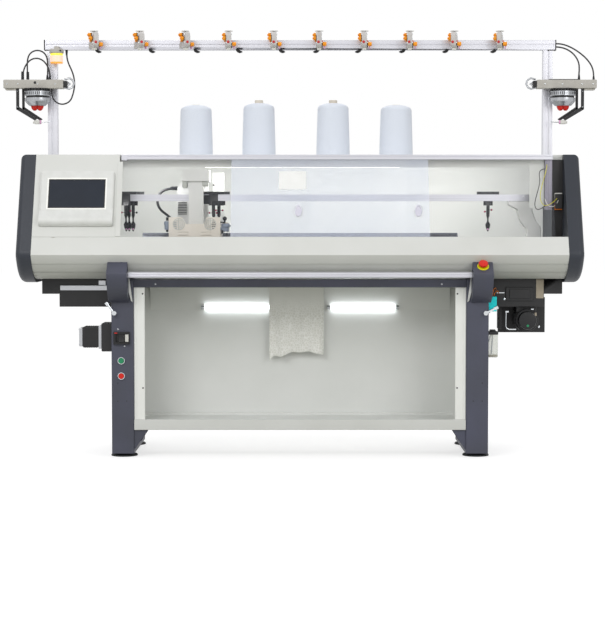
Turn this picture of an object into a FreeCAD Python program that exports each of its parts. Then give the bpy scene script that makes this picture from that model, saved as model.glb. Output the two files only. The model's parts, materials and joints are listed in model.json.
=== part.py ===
import FreeCAD, Part, Sketcher
import math
import os
from FreeCAD import Placement, Rotation, Vector

# Flat knitting machine, millimetres. X runs along the needle beds, the front faces -Y, Z is up.
# The origin is the middle of the floor under the machine.

doc = FreeCAD.newDocument("flat_knitting_machine")
sheet = doc.addObject("Spreadsheet::Sheet", "Sizes")

DRIVING = {
    # covers
    "machine_width": 2500, "cover_front": 430, "bracket_reach": 40, "end_cover_width": 70,
    "deck_rise": 367, "bulge_drop": 79, "end_cover_lap": 15, "end_cover_round": 26,
    "end_cover_radius": 215, "bulge_round": 40,
    "top_recess": 200, "sill_rise": 189, "sill_recess": 35, "sill_depth": 40, "underside_radius": 200,
    "underside_recess": 190, "underside_gap": 1, "cover_wall": 6, "groove_depth": 3, "groove_width": 5,
    "upper_groove_drop": 41, "lower_groove_drop": 76, "sheet_wall": 3,
    # console
    "console_width": 374, "console_wall": 12, "console_side": 40, "bezel_side": 27, "bezel_width": 328,
    "bezel_low": 50, "bezel_length": 266, "bezel_thick": 12, "bezel_round": 14, "screen_width": 243,
    "screen_length": 132, "screen_low": 88, "screen_thick": 3,
    # top rail, deck and window
    "rail_height": 22, "rail_depth": 40, "rail_groove_top": 7, "rail_groove": 3,
    "upright_width": 32, "upright_depth": 20, "upright_rise": 120, "rail_bracket_width": 26, "rail_bracket_lap": 4, "rail_right": 1132, "rail_left": 774, "lip_height": 56,
    "lamp_height": 16, "lamp_depth": 20, "lamp_length": 885, "lamp_middle": 12,
    "pane_thick": 4, "pane_play": 0.3, "pane_step": 7, "door_left_end": 790, "left_door_width": 833,
    "right_door_width": 651, "right_door_end": 1125, "pane_left": 307, "pane_width": 880,
    "pull_width": 31, "pull_length": 56, "pull_inset": 50, "pull_low": 95, "pull_wall": 4, "pull_proud": 3, "pull_corner": 9,
    # stand
    "leg_middle": 787, "leg_width": 100, "leg_front": 350, "leg_depth": 560, "leg_round": 8,
    "leg_foot": 16, "bed_base": 790, "foot_radius": 59, "foot_thick": 8, "foot_stem": 12, "foot_inset": 70,
    "tray_bottom": 121, "tray_top": 167, "tray_rim": 20, "tray_well_depth": 12, "liner_back": 21, "liner_front": 340, "trim_width": 48,
    "gusset_width": 60, "gusset_low": 30, "gusset_thick": 5, "beam_height": 35, "beam_depth": 50,
    "hood_length": 115, "hood_reach": 24, "tube_radius": 8, "tube_rise": 12,
    "tube_length": 330, "tube_inner": 125, "bracket_middle": 802, "bracket_width": 88,
    "bracket_drop": 31, "nose_rise": 18, "nose_depth": 12, "bracket_skirt": 102, "bracket_round": 190, "cover_gap": 0.3,
    # beds
    "throat_back": 60, "throat_half": 4, "throat_rise": 205, "needle_bed_run": 117, "needle_bed_thick": 40,
    "needle_bed_length": 1440, "bed_slot": 15, "base_half": 165, "ledge_half": 215,
    "ledge_rise": 38, "ledge_thick": 34, "ledge_wide": 35, "bar_radius": 15, "bar_fit": 0.05,
    "roller_radius": 18, "roller_rise": 15, "roller_gap": 3, "journal_radius": 8, "journal_length": 12,
    "roller_pocket": 50, "roller_pocket_rise": 60, "bay_half": 737,
    # carriage
    "carriage_middle": 470, "carriage_width": 230, "cam_gap": 4, "cam_rise": 5, "cam_inner": 30,
    "cam_outer": 225, "cam_shoulder_drop": 65, "front_plate_thick": 4, "front_plate_skirt": 95,
    "front_plate_rise": 66, "front_plate_notch_rise": 36, "notch_half": 39, "notch_top_half": 56,
    "front_plate_fold": 60, "fan_radius": 24, "fan_side": 70, "fan_rise": 35, "fan_pitch": 9,
    "fan_slot": 4, "vent_side": 27, "vent_length": 48, "vent_drop": 16, "vent_pitch": 14, "vent_gap": 3,
    "bridge_width": 65, "bridge_head_width": 115, "bridge_clearance": 65, "bridge_head_tall": 52, "bridge_head_proud": 10,
    "bridge_inner": 65, "bridge_leg": 50, "bridge_round": 20, "rear_column_left": 566, "rear_column_right": 424,
    "rear_column_bevel": 28, "side_plate_left": 405, "side_plate_right": 352,
    "side_plate_drop": 9, "side_plate_front": 58,
    # carriers
    "carrier_rail_rise": 145, "carrier_rail_tall": 30, "carrier_rail_thick": 12, "lane_pitch": 22,
    "carrier_rail_half": 1074, "carrier_fit": 0.3, "carrier_wall": 3.5, "carrier_width": 42,
    "carrier_drop": 20, "wing_width": 100, "wing_height": 13, "finger_width": 15, "finger_thick": 3,
    "finger_neck": 7, "finger_waist_rise": 79, "finger_shoulder_rise": 39, "finger_flare": 11,
    "finger_tip_rise": 7, "finger_point": 5, "tip_pitch": 7, "support_top_left": 952, "support_top_right": 1063,
    "support_foot_left": 1035, "support_foot_right": 1099, "support_thick": 56, "support_bend": 120,
    # controls
    "bar_rise": 9, "bar_height": 28, "bar_depth": 24, "bar_recess": 22, "bar_chamfer": 6, "bar_groove": 3, "bar_groove_half": 2, "pin_radius": 6, "pin_length": 10,
    "run_fit": 0.05, "estop_radius": 21, "estop_height": 12, "estop_crown": 3, "estop_stem": 9, "estop_travel": 6,
    "ring_radius": 26, "ring_thick": 4, "estop_back": 30, "button_left": 793, "start_height": 430,
    "stop_height": 362, "bezel_ring": 17, "bezel_bore": 12.7, "bezel_proud": 6, "button_radius": 12.4,
    "button_length": 9, "button_seat": 4, "switch_width": 71, "switch_height": 55, "switch_middle": 531, "switch_depth": 12,
    "switch_side": 791, "rocker_width": 24, "rocker_height": 34, "rocker_depth": 8, "rocker_fit": 0.4,
    "rocker_end_fit": 1,
    "lever_side": 822, "lever_drop": 148, "lever_radius": 5, "lever_length": 46, "lever_hub": 11,
    "lever_hub_depth": 22, "lever_grip": 16,
    # side equipment
    "box_front": 225, "box_back": 40, "left_box_out": 1160, "left_box_in": 1082, "end_box_height": 68,
    "tray_in": 864, "side_box_height": 126, "side_step_height": 54, "right_box_out": 1179, "right_box_in": 1097,
    "plate_in": 967, "motor_plate_drop": 88, "motor_plate_height": 147, "plate_thick": 4, "motor_side": 1021,
    "motor_drop": 187, "motor_radius": 52, "motor_length": 150, "motor_cap": 41, "motor_cap_depth": 30,
    "gear_length": 48, "gear_half": 63, "gear_drop": 259, "gear_back": 250, "take_radius": 46,
    "take_length": 72, "take_ring": 52, "take_ring_length": 14, "take_cap": 16, "take_cap_radius": 42,
    "bottle_radius": 22, "bottle_low": 442, "bottle_height": 104, "bottle_cap_height": 12, "bottle_back": 300,
    # gantry
    "post_half": 22, "post_side": 1144, "post_back": 70, "post_length": 492, "slot_width": 9, "slot_depth": 5, "yarn_rail_half": 1172,
    "end_cap": 5, "lamp_base_radius": 33, "lamp_base_height": 20, "lens_radius": 29, "lens_height": 46, "lens_chamfer": 5,
    "lamp_side": 1119, "lamp_forward": 14, "controller_first": 958, "controller_pitch": 209,
    "controller_rise": 4, "controller_tall": 78, "controller_thick": 23, "controller_depth": 84,
    "controller_clamp": 10, "controller_round": 12, "knob_radius": 9, "knob_length": 9,
    # storage feeders
    "feeder_side": 1206, "feeder_out": 1357, "feeder_in": 1083, "feeder_drop": 183, "feeder_tall": 40,
    "feeder_front": 40, "feeder_rear": 20, "feeder_middle": 10, "feeder_taper": 30, "drum_radius": 58,
    "drum_height": 78, "drum_gap": 0.5, "drum_shaft": 6, "shaft_length": 18, "drum_waist": 10,
    "skirt_taper": 16, "skirt_step": 4, "skirt_height": 20, "skirt_top": 33, "crown_low": 39, "knob_half": 28,
    "knob_height": 22, "knob_depth": 32,
    "fork_side": 1294, "fork_bar": 6, "fork_drop": 94, "fork_pitch": 22, "eyelet_radius": 15, "eyelet_bore": 5,
    "eyelet_height": 14, "eyelet_drop": 161, "crown_notch": 7, "crown_notch_depth": 9,
    # yarn
    "cone_base": 77, "cone_shoulder": 71, "cone_height": 218, "cone_dome": 236, "cone_back": 35,
    "cone_extra": 9, "cone_tube": 19, "cone_tube_wall": 2.5, "cone_tip": 14, "cone_stub": 2, "cone_foot_round": 6, "fabric_left": 143, "fabric_right": 109,
    "fabric_thick": 2.4, "fabric_bite": 10, "fabric_fold": 8, "fabric_fold_drop": 50,
    "fabric_hem": 398, "cable_radius": 3.5, "cable_sides": 6,
    "hose_radius": 6, "hose_sides": 4, "round_sides": 24, "small_sides": 16,
}
CONE_PLACES = {"cone_first": -480, "cone_second": -190, "cone_third": 152, "cone_fourth": 443}
TALL_CONES = ("cone_second", "cone_third")
DRIVING.update(CONE_PLACES)
for row, (alias, number) in enumerate(DRIVING.items(), 1):
    sheet.set("A%d" % row, alias)
    sheet.set("B%d" % row, str(number))
    sheet.setAlias("B%d" % row, alias)
doc.recompute()


class Size:
    """A length together with the formula that works it out from the sheet."""

    def __init__(self, number, formula):
        self.number = float(number)
        self.formula = formula

    def __float__(self):
        return self.number

    def __add__(self, other):
        other = sized(other)
        return Size(self.number + other.number, "(%s + %s)" % (self.formula, other.formula))

    def __sub__(self, other):
        other = sized(other)
        return Size(self.number - other.number, "(%s - %s)" % (self.formula, other.formula))

    def __mul__(self, other):
        other = sized(other)
        return Size(self.number * other.number, "(%s * %s)" % (self.formula, other.formula))

    def __truediv__(self, other):
        other = sized(other)
        return Size(self.number / other.number, "(%s / %s)" % (self.formula, other.formula))

    def __neg__(self):
        return Size(-self.number, "(0 - %s)" % self.formula)

    __radd__ = __add__

    def __int__(self):
        return int(self.number)

    def __rsub__(self, other):
        return sized(other) - self

    def __rmul__(self, other):
        return self * other


class Sizes:
    """The sheet's cells by name."""

    def __getattr__(self, alias):
        return Size(getattr(sheet, alias), "Sizes." + alias)


def sized(value):
    return value if isinstance(value, Size) else Size(value, repr(float(value)))


s = Sizes()
nodes = []

# levels, each measured from the one that carries it
s.sill_height = s.bed_base + s.sill_rise
s.deck_height = s.sill_height + s.deck_rise
s.bulge_height = s.sill_height - s.bulge_drop
s.end_cover_foot = s.bed_base - s.end_cover_lap
s.underside_height = s.bed_base + s.underside_gap
s.upper_groove = s.bulge_height - s.upper_groove_drop
s.lower_groove = s.bulge_height - s.lower_groove_drop
s.hood_top = s.bed_base - s.beam_height
s.hood_bottom = s.hood_top - s.hood_length
s.tube_height = s.hood_bottom + s.tube_rise
s.bracket_top = s.bulge_height - s.bracket_drop
s.bracket_nose = s.bed_base + s.nose_rise
s.bracket_foot = s.bed_base - s.bracket_skirt
s.bar_low = s.bed_base + s.bar_rise
s.bar_high = s.bar_low + s.bar_height
s.lever_height = s.bed_base - s.lever_drop
s.throat_height = s.bed_base + s.throat_rise
s.bed_crown = s.throat_height - s.needle_bed_thick - s.bed_slot + s.throat_half
s.ledge_low = s.bed_base + s.ledge_rise
s.ledge_high = s.ledge_low + s.ledge_thick
s.roller_height = s.bed_base + s.roller_rise
s.roller_pocket_top = s.bed_base + s.roller_pocket_rise
s.cam_top = s.throat_height + s.cam_rise
s.cam_shoulder = s.throat_height - s.cam_shoulder_drop
s.front_plate_low = s.cam_top - s.front_plate_skirt
s.front_plate_top = s.cam_top + s.front_plate_rise
s.front_plate_notch = s.cam_top + s.front_plate_notch_rise
s.fan_height = s.cam_top + s.fan_rise
s.vent_height = s.cam_top - s.vent_drop
s.bridge_head_high = s.deck_height - s.bridge_clearance
s.bridge_head_low = s.bridge_head_high - s.bridge_head_tall
s.side_plate_top = s.bridge_head_high - s.side_plate_drop
s.carrier_rail_low = s.throat_height + s.carrier_rail_rise
s.carrier_rail_high = s.carrier_rail_low + s.carrier_rail_tall
s.finger_waist = s.throat_height + s.finger_waist_rise
s.finger_shoulder = s.throat_height + s.finger_shoulder_rise
s.finger_tip = s.throat_height + s.finger_tip_rise
s.end_box_low = s.bed_base - s.end_box_height
s.side_tray_low = s.bed_base - s.side_box_height
s.side_tray_step = s.bed_base - s.side_step_height
s.plate_high = s.bed_base - s.motor_plate_drop
s.plate_low = s.plate_high - s.motor_plate_height
s.motor_height = s.bed_base - s.motor_drop
s.gear_height = s.bed_base - s.gear_drop
s.yarn_rail_low = s.deck_height + s.post_length
s.controller_low = s.yarn_rail_low + s.controller_rise
s.controller_high = s.controller_low + s.controller_tall
s.feeder_low = s.yarn_rail_low - s.feeder_drop
s.eyelet_low = s.feeder_low - s.eyelet_drop
s.fabric_top = s.throat_height - s.fabric_bite
s.fabric_fold_top = s.bed_base - s.fabric_fold_drop


def bind(thing, name, size):
    thing.setExpression(name, sized(size).formula)


def place(thing, x, y, z, rotation=Rotation()):
    thing.Placement = Placement(Vector(float(x), float(y), float(z)), rotation)
    for axis, where in zip("xyz", (x, y, z)):
        bind(thing, "Placement.Base." + axis, where)
    return thing


def block(name, x, y, z):
    """A rectangular block between two corners."""
    box = doc.addObject("Part::Box", name)
    for side, (low, high) in zip(("Length", "Width", "Height"), (x, y, z)):
        bind(box, side, sized(high) - low)
    return place(box, x[0], y[0], z[0])


TURNS = {"x": Rotation(Vector(0, 1, 0), 90), "y": Rotation(Vector(1, 0, 0), -90), "z": Rotation()}


def rod(name, radius, length, x, y, z, axis):
    """A round bar that starts at a point and runs along an axis."""
    bar = doc.addObject("Part::Cylinder", name)
    bind(bar, "Radius", radius)
    bind(bar, "Height", length)
    return place(bar, x, y, z, TURNS[axis])


def polygon_bar(name, radius, height, x, y, z, rotation=Rotation(), sides=6):
    """A regular prism, such as a nut, or a small round piece with flats."""
    thing = doc.addObject("Part::Prism", name)
    thing.Polygon = sides
    bind(thing, "Circumradius", radius)
    bind(thing, "Height", height)
    return place(thing, x, y, z, rotation)


def closed(faces):
    """A solid from flat faces, each a list of points."""
    shell = Part.makeShell([Part.Face(Part.makePolygon(points + points[:1])) for points in faces])
    solid = Part.makeSolid(shell)
    if solid.Volume < 0:
        solid.reverse()
    return solid.removeSplitter()


def tapered(name, rims, x, y, z, sides):
    """A many-sided turned piece: flat bands between rims of (radius, height) from the foot up."""
    def point(rim, n):
        angle = math.tau * n / sides
        return Vector(float(rim[0]) * math.cos(angle), float(rim[0]) * math.sin(angle), float(rim[1]))

    faces = [[point(rims[0], n) for n in range(sides)][::-1], [point(rims[-1], n) for n in range(sides)]]
    for lower, upper in zip(rims, rims[1:]):
        faces += [[point(lower, n), point(lower, n + 1), point(upper, n + 1), point(upper, n)] for n in range(sides)]
    thing = doc.addObject("Part::Feature", name)
    thing.Shape = closed(faces)
    return place(thing, x, y, z)


def fused(name, *things):
    union = doc.addObject("Part::MultiFuse", name)
    union.Shapes = list(things)
    return union


def cut(name, base, *tools):
    """The base less each tool."""
    for number, tool in enumerate(tools):
        step = doc.addObject("Part::Cut", "%s_cut_%d" % (name, number))
        step.Base = base
        step.Tool = tool
        base = step
    return base


def mirrored(name, thing, side=Vector(1, 0, 0), base=Vector()):
    copy = doc.addObject("Part::Mirroring", name)
    copy.Source = thing
    copy.Normal = side
    copy.Base = base
    return copy


def grouped(name, *things):
    group = doc.addObject("Part::Compound", name)
    group.Links = list(things)
    return group


def node(label, thing):
    thing.Label = label
    nodes.append(thing)
    return thing


def arc_middle(start, end, radius):
    """The middle of the short arc from start to end; a negative radius bends it the other way."""
    chord = end - start
    rise = abs(radius) - math.sqrt(max(radius * radius - chord.Length ** 2 / 4, 0))
    side = Vector(chord.y, -chord.x, 0).normalize() * math.copysign(rise, radius)
    return (start + end) / 2 + side


def sketch_on(body, plane, corners, name="outline"):
    """A closed outline of lines and arcs; a corner's third value is the radius of the arc after it."""
    sketch = body.newObject("Sketcher::SketchObject", name)
    face = [item for item in body.Origin.OriginFeatures if item.Role == plane + "_Plane"][0]
    sketch.AttachmentSupport = (face, [""])
    sketch.MapMode = "FlatFace"
    points = [Vector(float(corner[0]), float(corner[1]), 0) for corner in corners]
    ends = []
    for index, corner in enumerate(corners):
        start, end = points[index], points[(index + 1) % len(points)]
        if len(corner) == 3:
            curve = Part.Arc(start, arc_middle(start, end, float(corner[2])), end)
        else:
            curve = Part.LineSegment(start, end)
        sketch.addGeometry(curve, False)
        clockwise = len(corner) == 3 and float(corner[2]) < 0
        ends.append((2, 1) if clockwise else (1, 2))
    Constraint = Sketcher.Constraint
    for index in range(len(corners)):
        after = (index + 1) % len(corners)
        sketch.addConstraint(Constraint("Coincident", index, ends[index][1], after, ends[after][0]))
    for index, corner in enumerate(corners):
        for kind, size, at in (("DistanceX", corner[0], points[index].x), ("DistanceY", corner[1], points[index].y)):
            number = sketch.addConstraint(Constraint(kind, -1, 1, index, ends[index][0], at))
            bind(sketch, "Constraints[%d]" % number, size)
        if len(corner) == 3:
            radius = sized(corner[2])
            number = sketch.addConstraint(Constraint("Radius", index, abs(float(radius))))
            bind(sketch, "Constraints[%d]" % number, radius if float(radius) > 0 else -radius)
    return sketch


def prism(name, plane, corners, start, length):
    """An outline on a plane, padded from start along the plane's axis."""
    body = doc.addObject("PartDesign::Body", name)
    sketch = sketch_on(body, plane, corners)
    pad = body.newObject("PartDesign::Pad", "pad")
    pad.Profile = sketch
    pad.Reversed = plane == "XZ"
    bind(pad, "Length", length)
    zero = sized(0)
    where = {"YZ": (start, zero, zero), "XZ": (zero, start, zero), "XY": (zero, zero, start)}[plane]
    place(body, *where)
    sketch.Visibility = False
    return body


def turned(name, corners, x, y, z):
    """A half section (radius, height) spun about its upright axis."""
    body = doc.addObject("PartDesign::Body", name)
    sketch = sketch_on(body, "XZ", corners)
    spin = body.newObject("PartDesign::Revolution", "spin")
    spin.Profile = sketch
    spin.ReferenceAxis = (sketch, ["V_Axis"])
    spin.Angle = 360
    return place(body, x, y, z)


def rounded(name, thing, radius, wanted):
    """The thing with the edges that wanted picks rounded."""
    doc.recompute()
    fillet = doc.addObject("Part::Fillet", name)
    fillet.Base = thing
    picked = [number for number, edge in enumerate(thing.Shape.Edges, 1) if wanted(edge)]
    fillet.Edges = [(number, float(radius), float(radius)) for number in picked]
    return fillet


def along(depth):
    """The Y of a depth behind the front of the covers."""
    return depth - s.cover_front


# --- lengths that several pieces share -------------------------------------------------------------
cover_back = s.cover_front + s.bracket_reach
inner_half = s.machine_width / 2 - s.end_cover_width
throat = -s.throat_back
leg_inner = s.leg_middle - s.leg_width / 2
leg_outer = s.leg_middle + s.leg_width / 2
console_right = s.console_width - inner_half
rail_low = s.deck_height - s.rail_height
yarn_rail_high = s.yarn_rail_low + s.post_half * 2
liner_back = -s.liner_back
many, small = int(s.round_sides), int(s.small_sides)
front_slope = (s.top_recess - s.sill_recess) / (s.deck_height - s.sill_height)


def underside():
    """The middle of the round underside of the front cover."""
    front = Vector(-float(s.cover_front), float(s.bulge_height), 0)
    back = Vector(float(along(s.underside_recess)), float(s.underside_height), 0)
    chord = back - front
    reach = math.sqrt(float(s.underside_radius) ** 2 - chord.Length ** 2 / 4)
    return (front + back) / 2 + Vector(-chord.y, chord.x, 0).normalize() * reach


ROUND = underside()


def on_round(height, gap=0.0):
    """The Y where the round underside, a gap outside it, passes a height."""
    radius = float(s.underside_radius) + float(gap)
    return ROUND.x - math.sqrt(radius ** 2 - (ROUND.y - float(height)) ** 2)


# --- stand ---------------------------------------------------------------------------------------
def leg():
    front, back, bend = -s.leg_front, s.leg_depth - s.leg_front, s.leg_round
    corners = [
        (leg_inner + bend, front), (leg_outer - bend, front, bend), (leg_outer, front + bend),
        (leg_outer, back - bend, bend), (leg_outer - bend, back), (leg_inner + bend, back, bend),
        (leg_inner, back - bend), (leg_inner, front + bend, bend),
    ]
    return prism("leg", "XY", corners, s.leg_foot, s.bed_base - s.leg_foot)


def gusset(name, front):
    corners = [
        (leg_inner, s.tray_bottom), (leg_inner, s.gusset_low), (leg_inner - s.gusset_width, s.tray_bottom),
    ]
    return prism(name, "XZ", corners, front, s.gusset_thick)


right_leg = leg()
gussets = [gusset("front_gusset", -s.liner_front), gusset("rear_gusset", liner_back - s.gusset_thick)]
stand = [right_leg] + gussets
node("stand_legs", grouped("stand_legs", *(stand + [mirrored("left_" + piece.Name, piece) for piece in stand])))

feet = []
for side in (-1, 1):
    for number, where in enumerate((s.foot_inset - s.leg_front, s.leg_depth - s.leg_front - s.foot_inset)):
        disc = rod("foot_disc", s.foot_radius, s.foot_thick, s.leg_middle * side, where, 0, "z")
        stem = polygon_bar("foot_stem", s.foot_stem, s.leg_foot - s.foot_thick, s.leg_middle * side, where, s.foot_thick)
        feet.append(fused("foot", disc, stem))
node("levelling_feet", grouped("levelling_feet", *feet))

tray_outer = block("tray_outer", (-leg_inner, leg_inner), (-s.leg_front, liner_back), (s.tray_bottom, s.tray_top))
tray_well = block("tray_well", (-leg_inner + s.tray_rim, leg_inner - s.tray_rim),
                  (s.tray_rim - s.leg_front, liner_back - s.tray_rim), (s.tray_top - s.tray_well_depth, s.tray_top + 1))
node("bottom_tray", cut("bottom_tray", tray_outer, tray_well))

back_panel = block("back_panel", (-leg_inner, leg_inner), (liner_back, liner_back + s.sheet_wall),
                   (s.tray_top, s.bed_base))
trim_corners = [
    (leg_inner, -s.liner_front), (leg_inner, liner_back), (leg_inner - s.sheet_wall, liner_back),
    (leg_inner - s.sheet_wall, s.sheet_wall - s.liner_front),
    (leg_inner - s.trim_width, s.sheet_wall - s.liner_front), (leg_inner - s.trim_width, -s.liner_front),
]
trim = prism("side_trim", "XY", trim_corners, s.tray_top, s.hood_top - s.tray_top)
hood_half = leg_inner - s.trim_width
hood_corners = [
    (liner_back, s.hood_bottom), (liner_back - s.hood_reach, s.hood_top),
    (liner_back - s.hood_reach + s.sheet_wall, s.hood_top), (liner_back, s.hood_bottom + s.sheet_wall * 6),
]
hood = prism("light_hood", "YZ", hood_corners, -hood_half, hood_half * 2)
node("bay_liner", grouped("bay_liner", back_panel, trim, mirrored("left_trim", trim), hood))

hood_slope = s.hood_reach / (s.hood_top - s.hood_bottom)
tube_seat = (s.tube_radius + s.pane_play) * math.sqrt(1 + float(hood_slope) ** 2)
tube_y = liner_back - (s.tube_height - s.hood_bottom) * hood_slope - tube_seat
window_lamp_y = along(s.top_recess) + s.rail_depth + s.sheet_wall
tubes = [
    polygon_bar("right_tube", s.tube_radius, s.tube_length, s.tube_inner, tube_y, s.tube_height, TURNS["x"], small),
    polygon_bar("left_tube", s.tube_radius, s.tube_length, -s.tube_inner - s.tube_length, tube_y, s.tube_height,
                TURNS["x"], small),
    block("window_lamp", (s.lamp_middle - s.lamp_length / 2, s.lamp_middle + s.lamp_length / 2),
          (window_lamp_y, window_lamp_y + s.lamp_depth),
          (s.deck_height - s.lip_height, s.deck_height - s.lip_height + s.lamp_height)),
]
node("light_tubes", grouped("light_tubes", *tubes))

beam = block("beam", (-leg_inner, leg_inner), (-s.liner_front, s.beam_depth - s.liner_front),
             (s.bed_base - s.beam_height, s.bed_base))
node("cross_beam", beam)

# --- brackets and the operating bar ----------------------------------------------------------------
bracket_y = -s.leg_front
nose = along(-s.bracket_reach)


def bracket_corners():
    gap = s.cover_gap
    top = on_round(s.bracket_top, gap)
    reach = float(s.underside_radius) + float(gap)
    low = ROUND.y - math.sqrt(reach ** 2 - (float(bracket_y) - ROUND.x) ** 2)
    return [
        (top, s.bracket_top), (nose, s.bracket_nose + s.nose_depth), (nose, s.bracket_nose, s.bracket_round),
        (bracket_y, s.bracket_foot), (bracket_y, low, -(s.underside_radius + gap)),
    ]


bar_y = along(s.bar_recess)
bar_z = (s.bar_low + s.bar_high) / 2
bracket_inner = s.bracket_middle - s.bracket_width / 2
solid_bracket = prism("solid_bracket", "YZ", bracket_corners(), bracket_inner, s.bracket_width)
pin_hole = rod("pin_hole", s.pin_radius + s.run_fit, s.pin_length + 1, bracket_inner - 1, bar_y, bar_z, "x")
right_bracket = cut("bracket", solid_bracket, pin_hole)
bar_half = bracket_inner - s.pane_play
bar_front, bar_rear = bar_y - s.bar_depth / 2, bar_y + s.bar_depth / 2
bar_corners = [
    (bar_front, s.bar_low + s.bar_chamfer), (bar_front + s.bar_chamfer, s.bar_low), (bar_rear, s.bar_low),
    (bar_rear, s.bar_high), (bar_front + s.bar_chamfer, s.bar_high), (bar_front, s.bar_high - s.bar_chamfer),
    (bar_front, bar_z + s.bar_groove_half), (bar_front + s.bar_groove, bar_z + s.bar_groove_half),
    (bar_front + s.bar_groove, bar_z - s.bar_groove_half), (bar_front, bar_z - s.bar_groove_half),
]
bar = prism("bar", "YZ", bar_corners, -bar_half, bar_half * 2)
pins = [
    rod("right_pin", s.pin_radius, s.pin_length, bar_half, bar_y, bar_z, "x"),
    rod("left_pin", s.pin_radius, s.pin_length, -bar_half - s.pin_length, bar_y, bar_z, "x"),
]
node("operating_bar", fused("operating_bar", bar, *pins))

# --- emergency stop, square to the sloping top of the right bracket -----------------------------------
top_point = Vector(0, on_round(s.bracket_top, s.cover_gap), float(s.bracket_top))
nose_point = Vector(0, float(nose), float(s.bracket_nose + s.nose_depth))
slope = (nose_point - top_point).normalize()
estop_normal = Vector(0, slope.z, -slope.y)
estop_turn = Rotation(Vector(0, 0, 1), estop_normal)
estop_foot = top_point + slope * float(s.estop_back) + Vector(float(s.bracket_middle), 0, 0)


def on_estop(name, radius, length, start):
    where = estop_foot + estop_normal * float(start)
    bar = doc.addObject("Part::Prism", name)
    bar.Polygon = many
    bind(bar, "Circumradius", radius)
    bind(bar, "Height", length)
    bar.Placement = Placement(where, estop_turn)
    return bar


stem_depth = s.estop_travel + 4
stem_hole = on_estop("stem_hole", s.estop_stem + s.run_fit, stem_depth + 10, -stem_depth)
ring_bore = on_estop("ring_bore", s.estop_stem + 1, s.ring_thick + 2, -1)
estop_ring = cut("estop_ring", on_estop("ring", s.ring_radius, s.ring_thick, 0), ring_bore)
mushroom_start = s.ring_thick + s.estop_travel + 1
mushroom = fused("e_stop", on_estop("cap", s.estop_radius, s.estop_height - s.estop_crown, mushroom_start),
                 on_estop("crown", s.estop_radius - s.estop_crown, s.estop_height, mushroom_start),
                 on_estop("stem", s.estop_stem, mushroom_start + 2, -2))
node("e_stop_button", mushroom)
drilled_bracket = cut("drilled_bracket", right_bracket, stem_hole)
node("bar_brackets", grouped("bar_brackets", drilled_bracket, mirrored("left_bracket", right_bracket)))

# --- buttons and switch on the left leg ---------------------------------------------------------------
leg_face = -s.leg_front


def ring(name, outer, bore, length, x, y, z, axis="y"):
    return cut(name, polygon_bar(name + "_outer", outer, length, x, y, z, TURNS[axis], small),
               polygon_bar(name + "_bore", bore, length, x, y, z, TURNS[axis], small))


collars = [
    ring("start_collar", s.bezel_ring, s.bezel_bore, s.bezel_proud, -s.button_left, leg_face - s.bezel_proud,
         s.start_height),
    ring("stop_collar", s.bezel_ring, s.bezel_bore, s.bezel_proud, -s.button_left, leg_face - s.bezel_proud,
         s.stop_height),
]
for name, height in (("start_button", s.start_height), ("stop_button", s.stop_height)):
    node(name, polygon_bar(name, s.button_radius, s.button_length, -s.button_left,
                           leg_face - s.button_length - s.button_seat, height, TURNS["y"], small))

switch_body = block("switch_body", (-s.switch_side - s.switch_width / 2, -s.switch_side + s.switch_width / 2),
                    (leg_face - s.switch_depth, leg_face),
                    (s.switch_middle - s.switch_height / 2, s.switch_middle + s.switch_height / 2))
rocker_x = (-s.switch_side - s.rocker_width / 2, -s.switch_side + s.rocker_width / 2)
rocker_z = (s.switch_middle - s.rocker_height / 2, s.switch_middle + s.rocker_height / 2)
rocker_y = leg_face - s.switch_depth
rocker_well = block("rocker_well", (rocker_x[0] - s.rocker_fit, rocker_x[1] + s.rocker_fit),
                    (rocker_y - 1, rocker_y + s.rocker_depth),
                    (rocker_z[0] - s.rocker_end_fit, rocker_z[1] + s.rocker_end_fit))
switch = cut("switch", switch_body, rocker_well)
rocker_corners = [
    (rocker_y + s.rocker_depth - 2, s.switch_middle - 4), (rocker_y + s.rocker_depth - 2, s.switch_middle + 4),
    (rocker_y + 1, rocker_z[1]), (rocker_y - 1, rocker_z[1]), (rocker_y + 1, s.switch_middle),
    (rocker_y - 4, rocker_z[0]), (rocker_y - 1, rocker_z[0]),
]
node("power_rocker", prism("rocker", "YZ", rocker_corners, rocker_x[0], s.rocker_width))
node("control_fittings", grouped("control_fittings", switch, estop_ring, *collars))


def clamp_lever(name, side, lean):
    """A chrome clamp lever: a nut on the leg, an eight-sided arm that leans outwards and a barrel grip."""
    arm_y = leg_face - s.lever_hub_depth / 2 - 3
    hub = polygon_bar(name + "_hub", s.lever_hub, s.lever_hub_depth, s.lever_side * side,
                  leg_face - s.lever_hub_depth - s.pane_play, s.lever_height, TURNS["y"])
    turn = Rotation(Vector(0, 1, 0), lean)
    arm = polygon_bar(name + "_arm", s.lever_radius, s.lever_length, s.lever_side * side, arm_y, s.lever_height, turn, 8)
    grip = polygon_bar(name + "_grip", s.lever_radius + 3, s.lever_grip, 0, 0, 0, turn, 8)
    reach = float(s.lever_length) - 2
    for axis, where in (("x", s.lever_side * side + reach * math.sin(math.radians(lean))), ("y", arm_y),
                        ("z", s.lever_height + reach * math.cos(math.radians(lean)))):
        bind(grip, "Placement.Base." + axis, where)
    return fused(name, hub, arm, grip)


node("left_clamp_lever", clamp_lever("left_lever", -1, -37))
node("right_clamp_lever", clamp_lever("right_lever", 1, 63))

# --- covers --------------------------------------------------------------------------------------------
front = along(sized(0))


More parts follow.
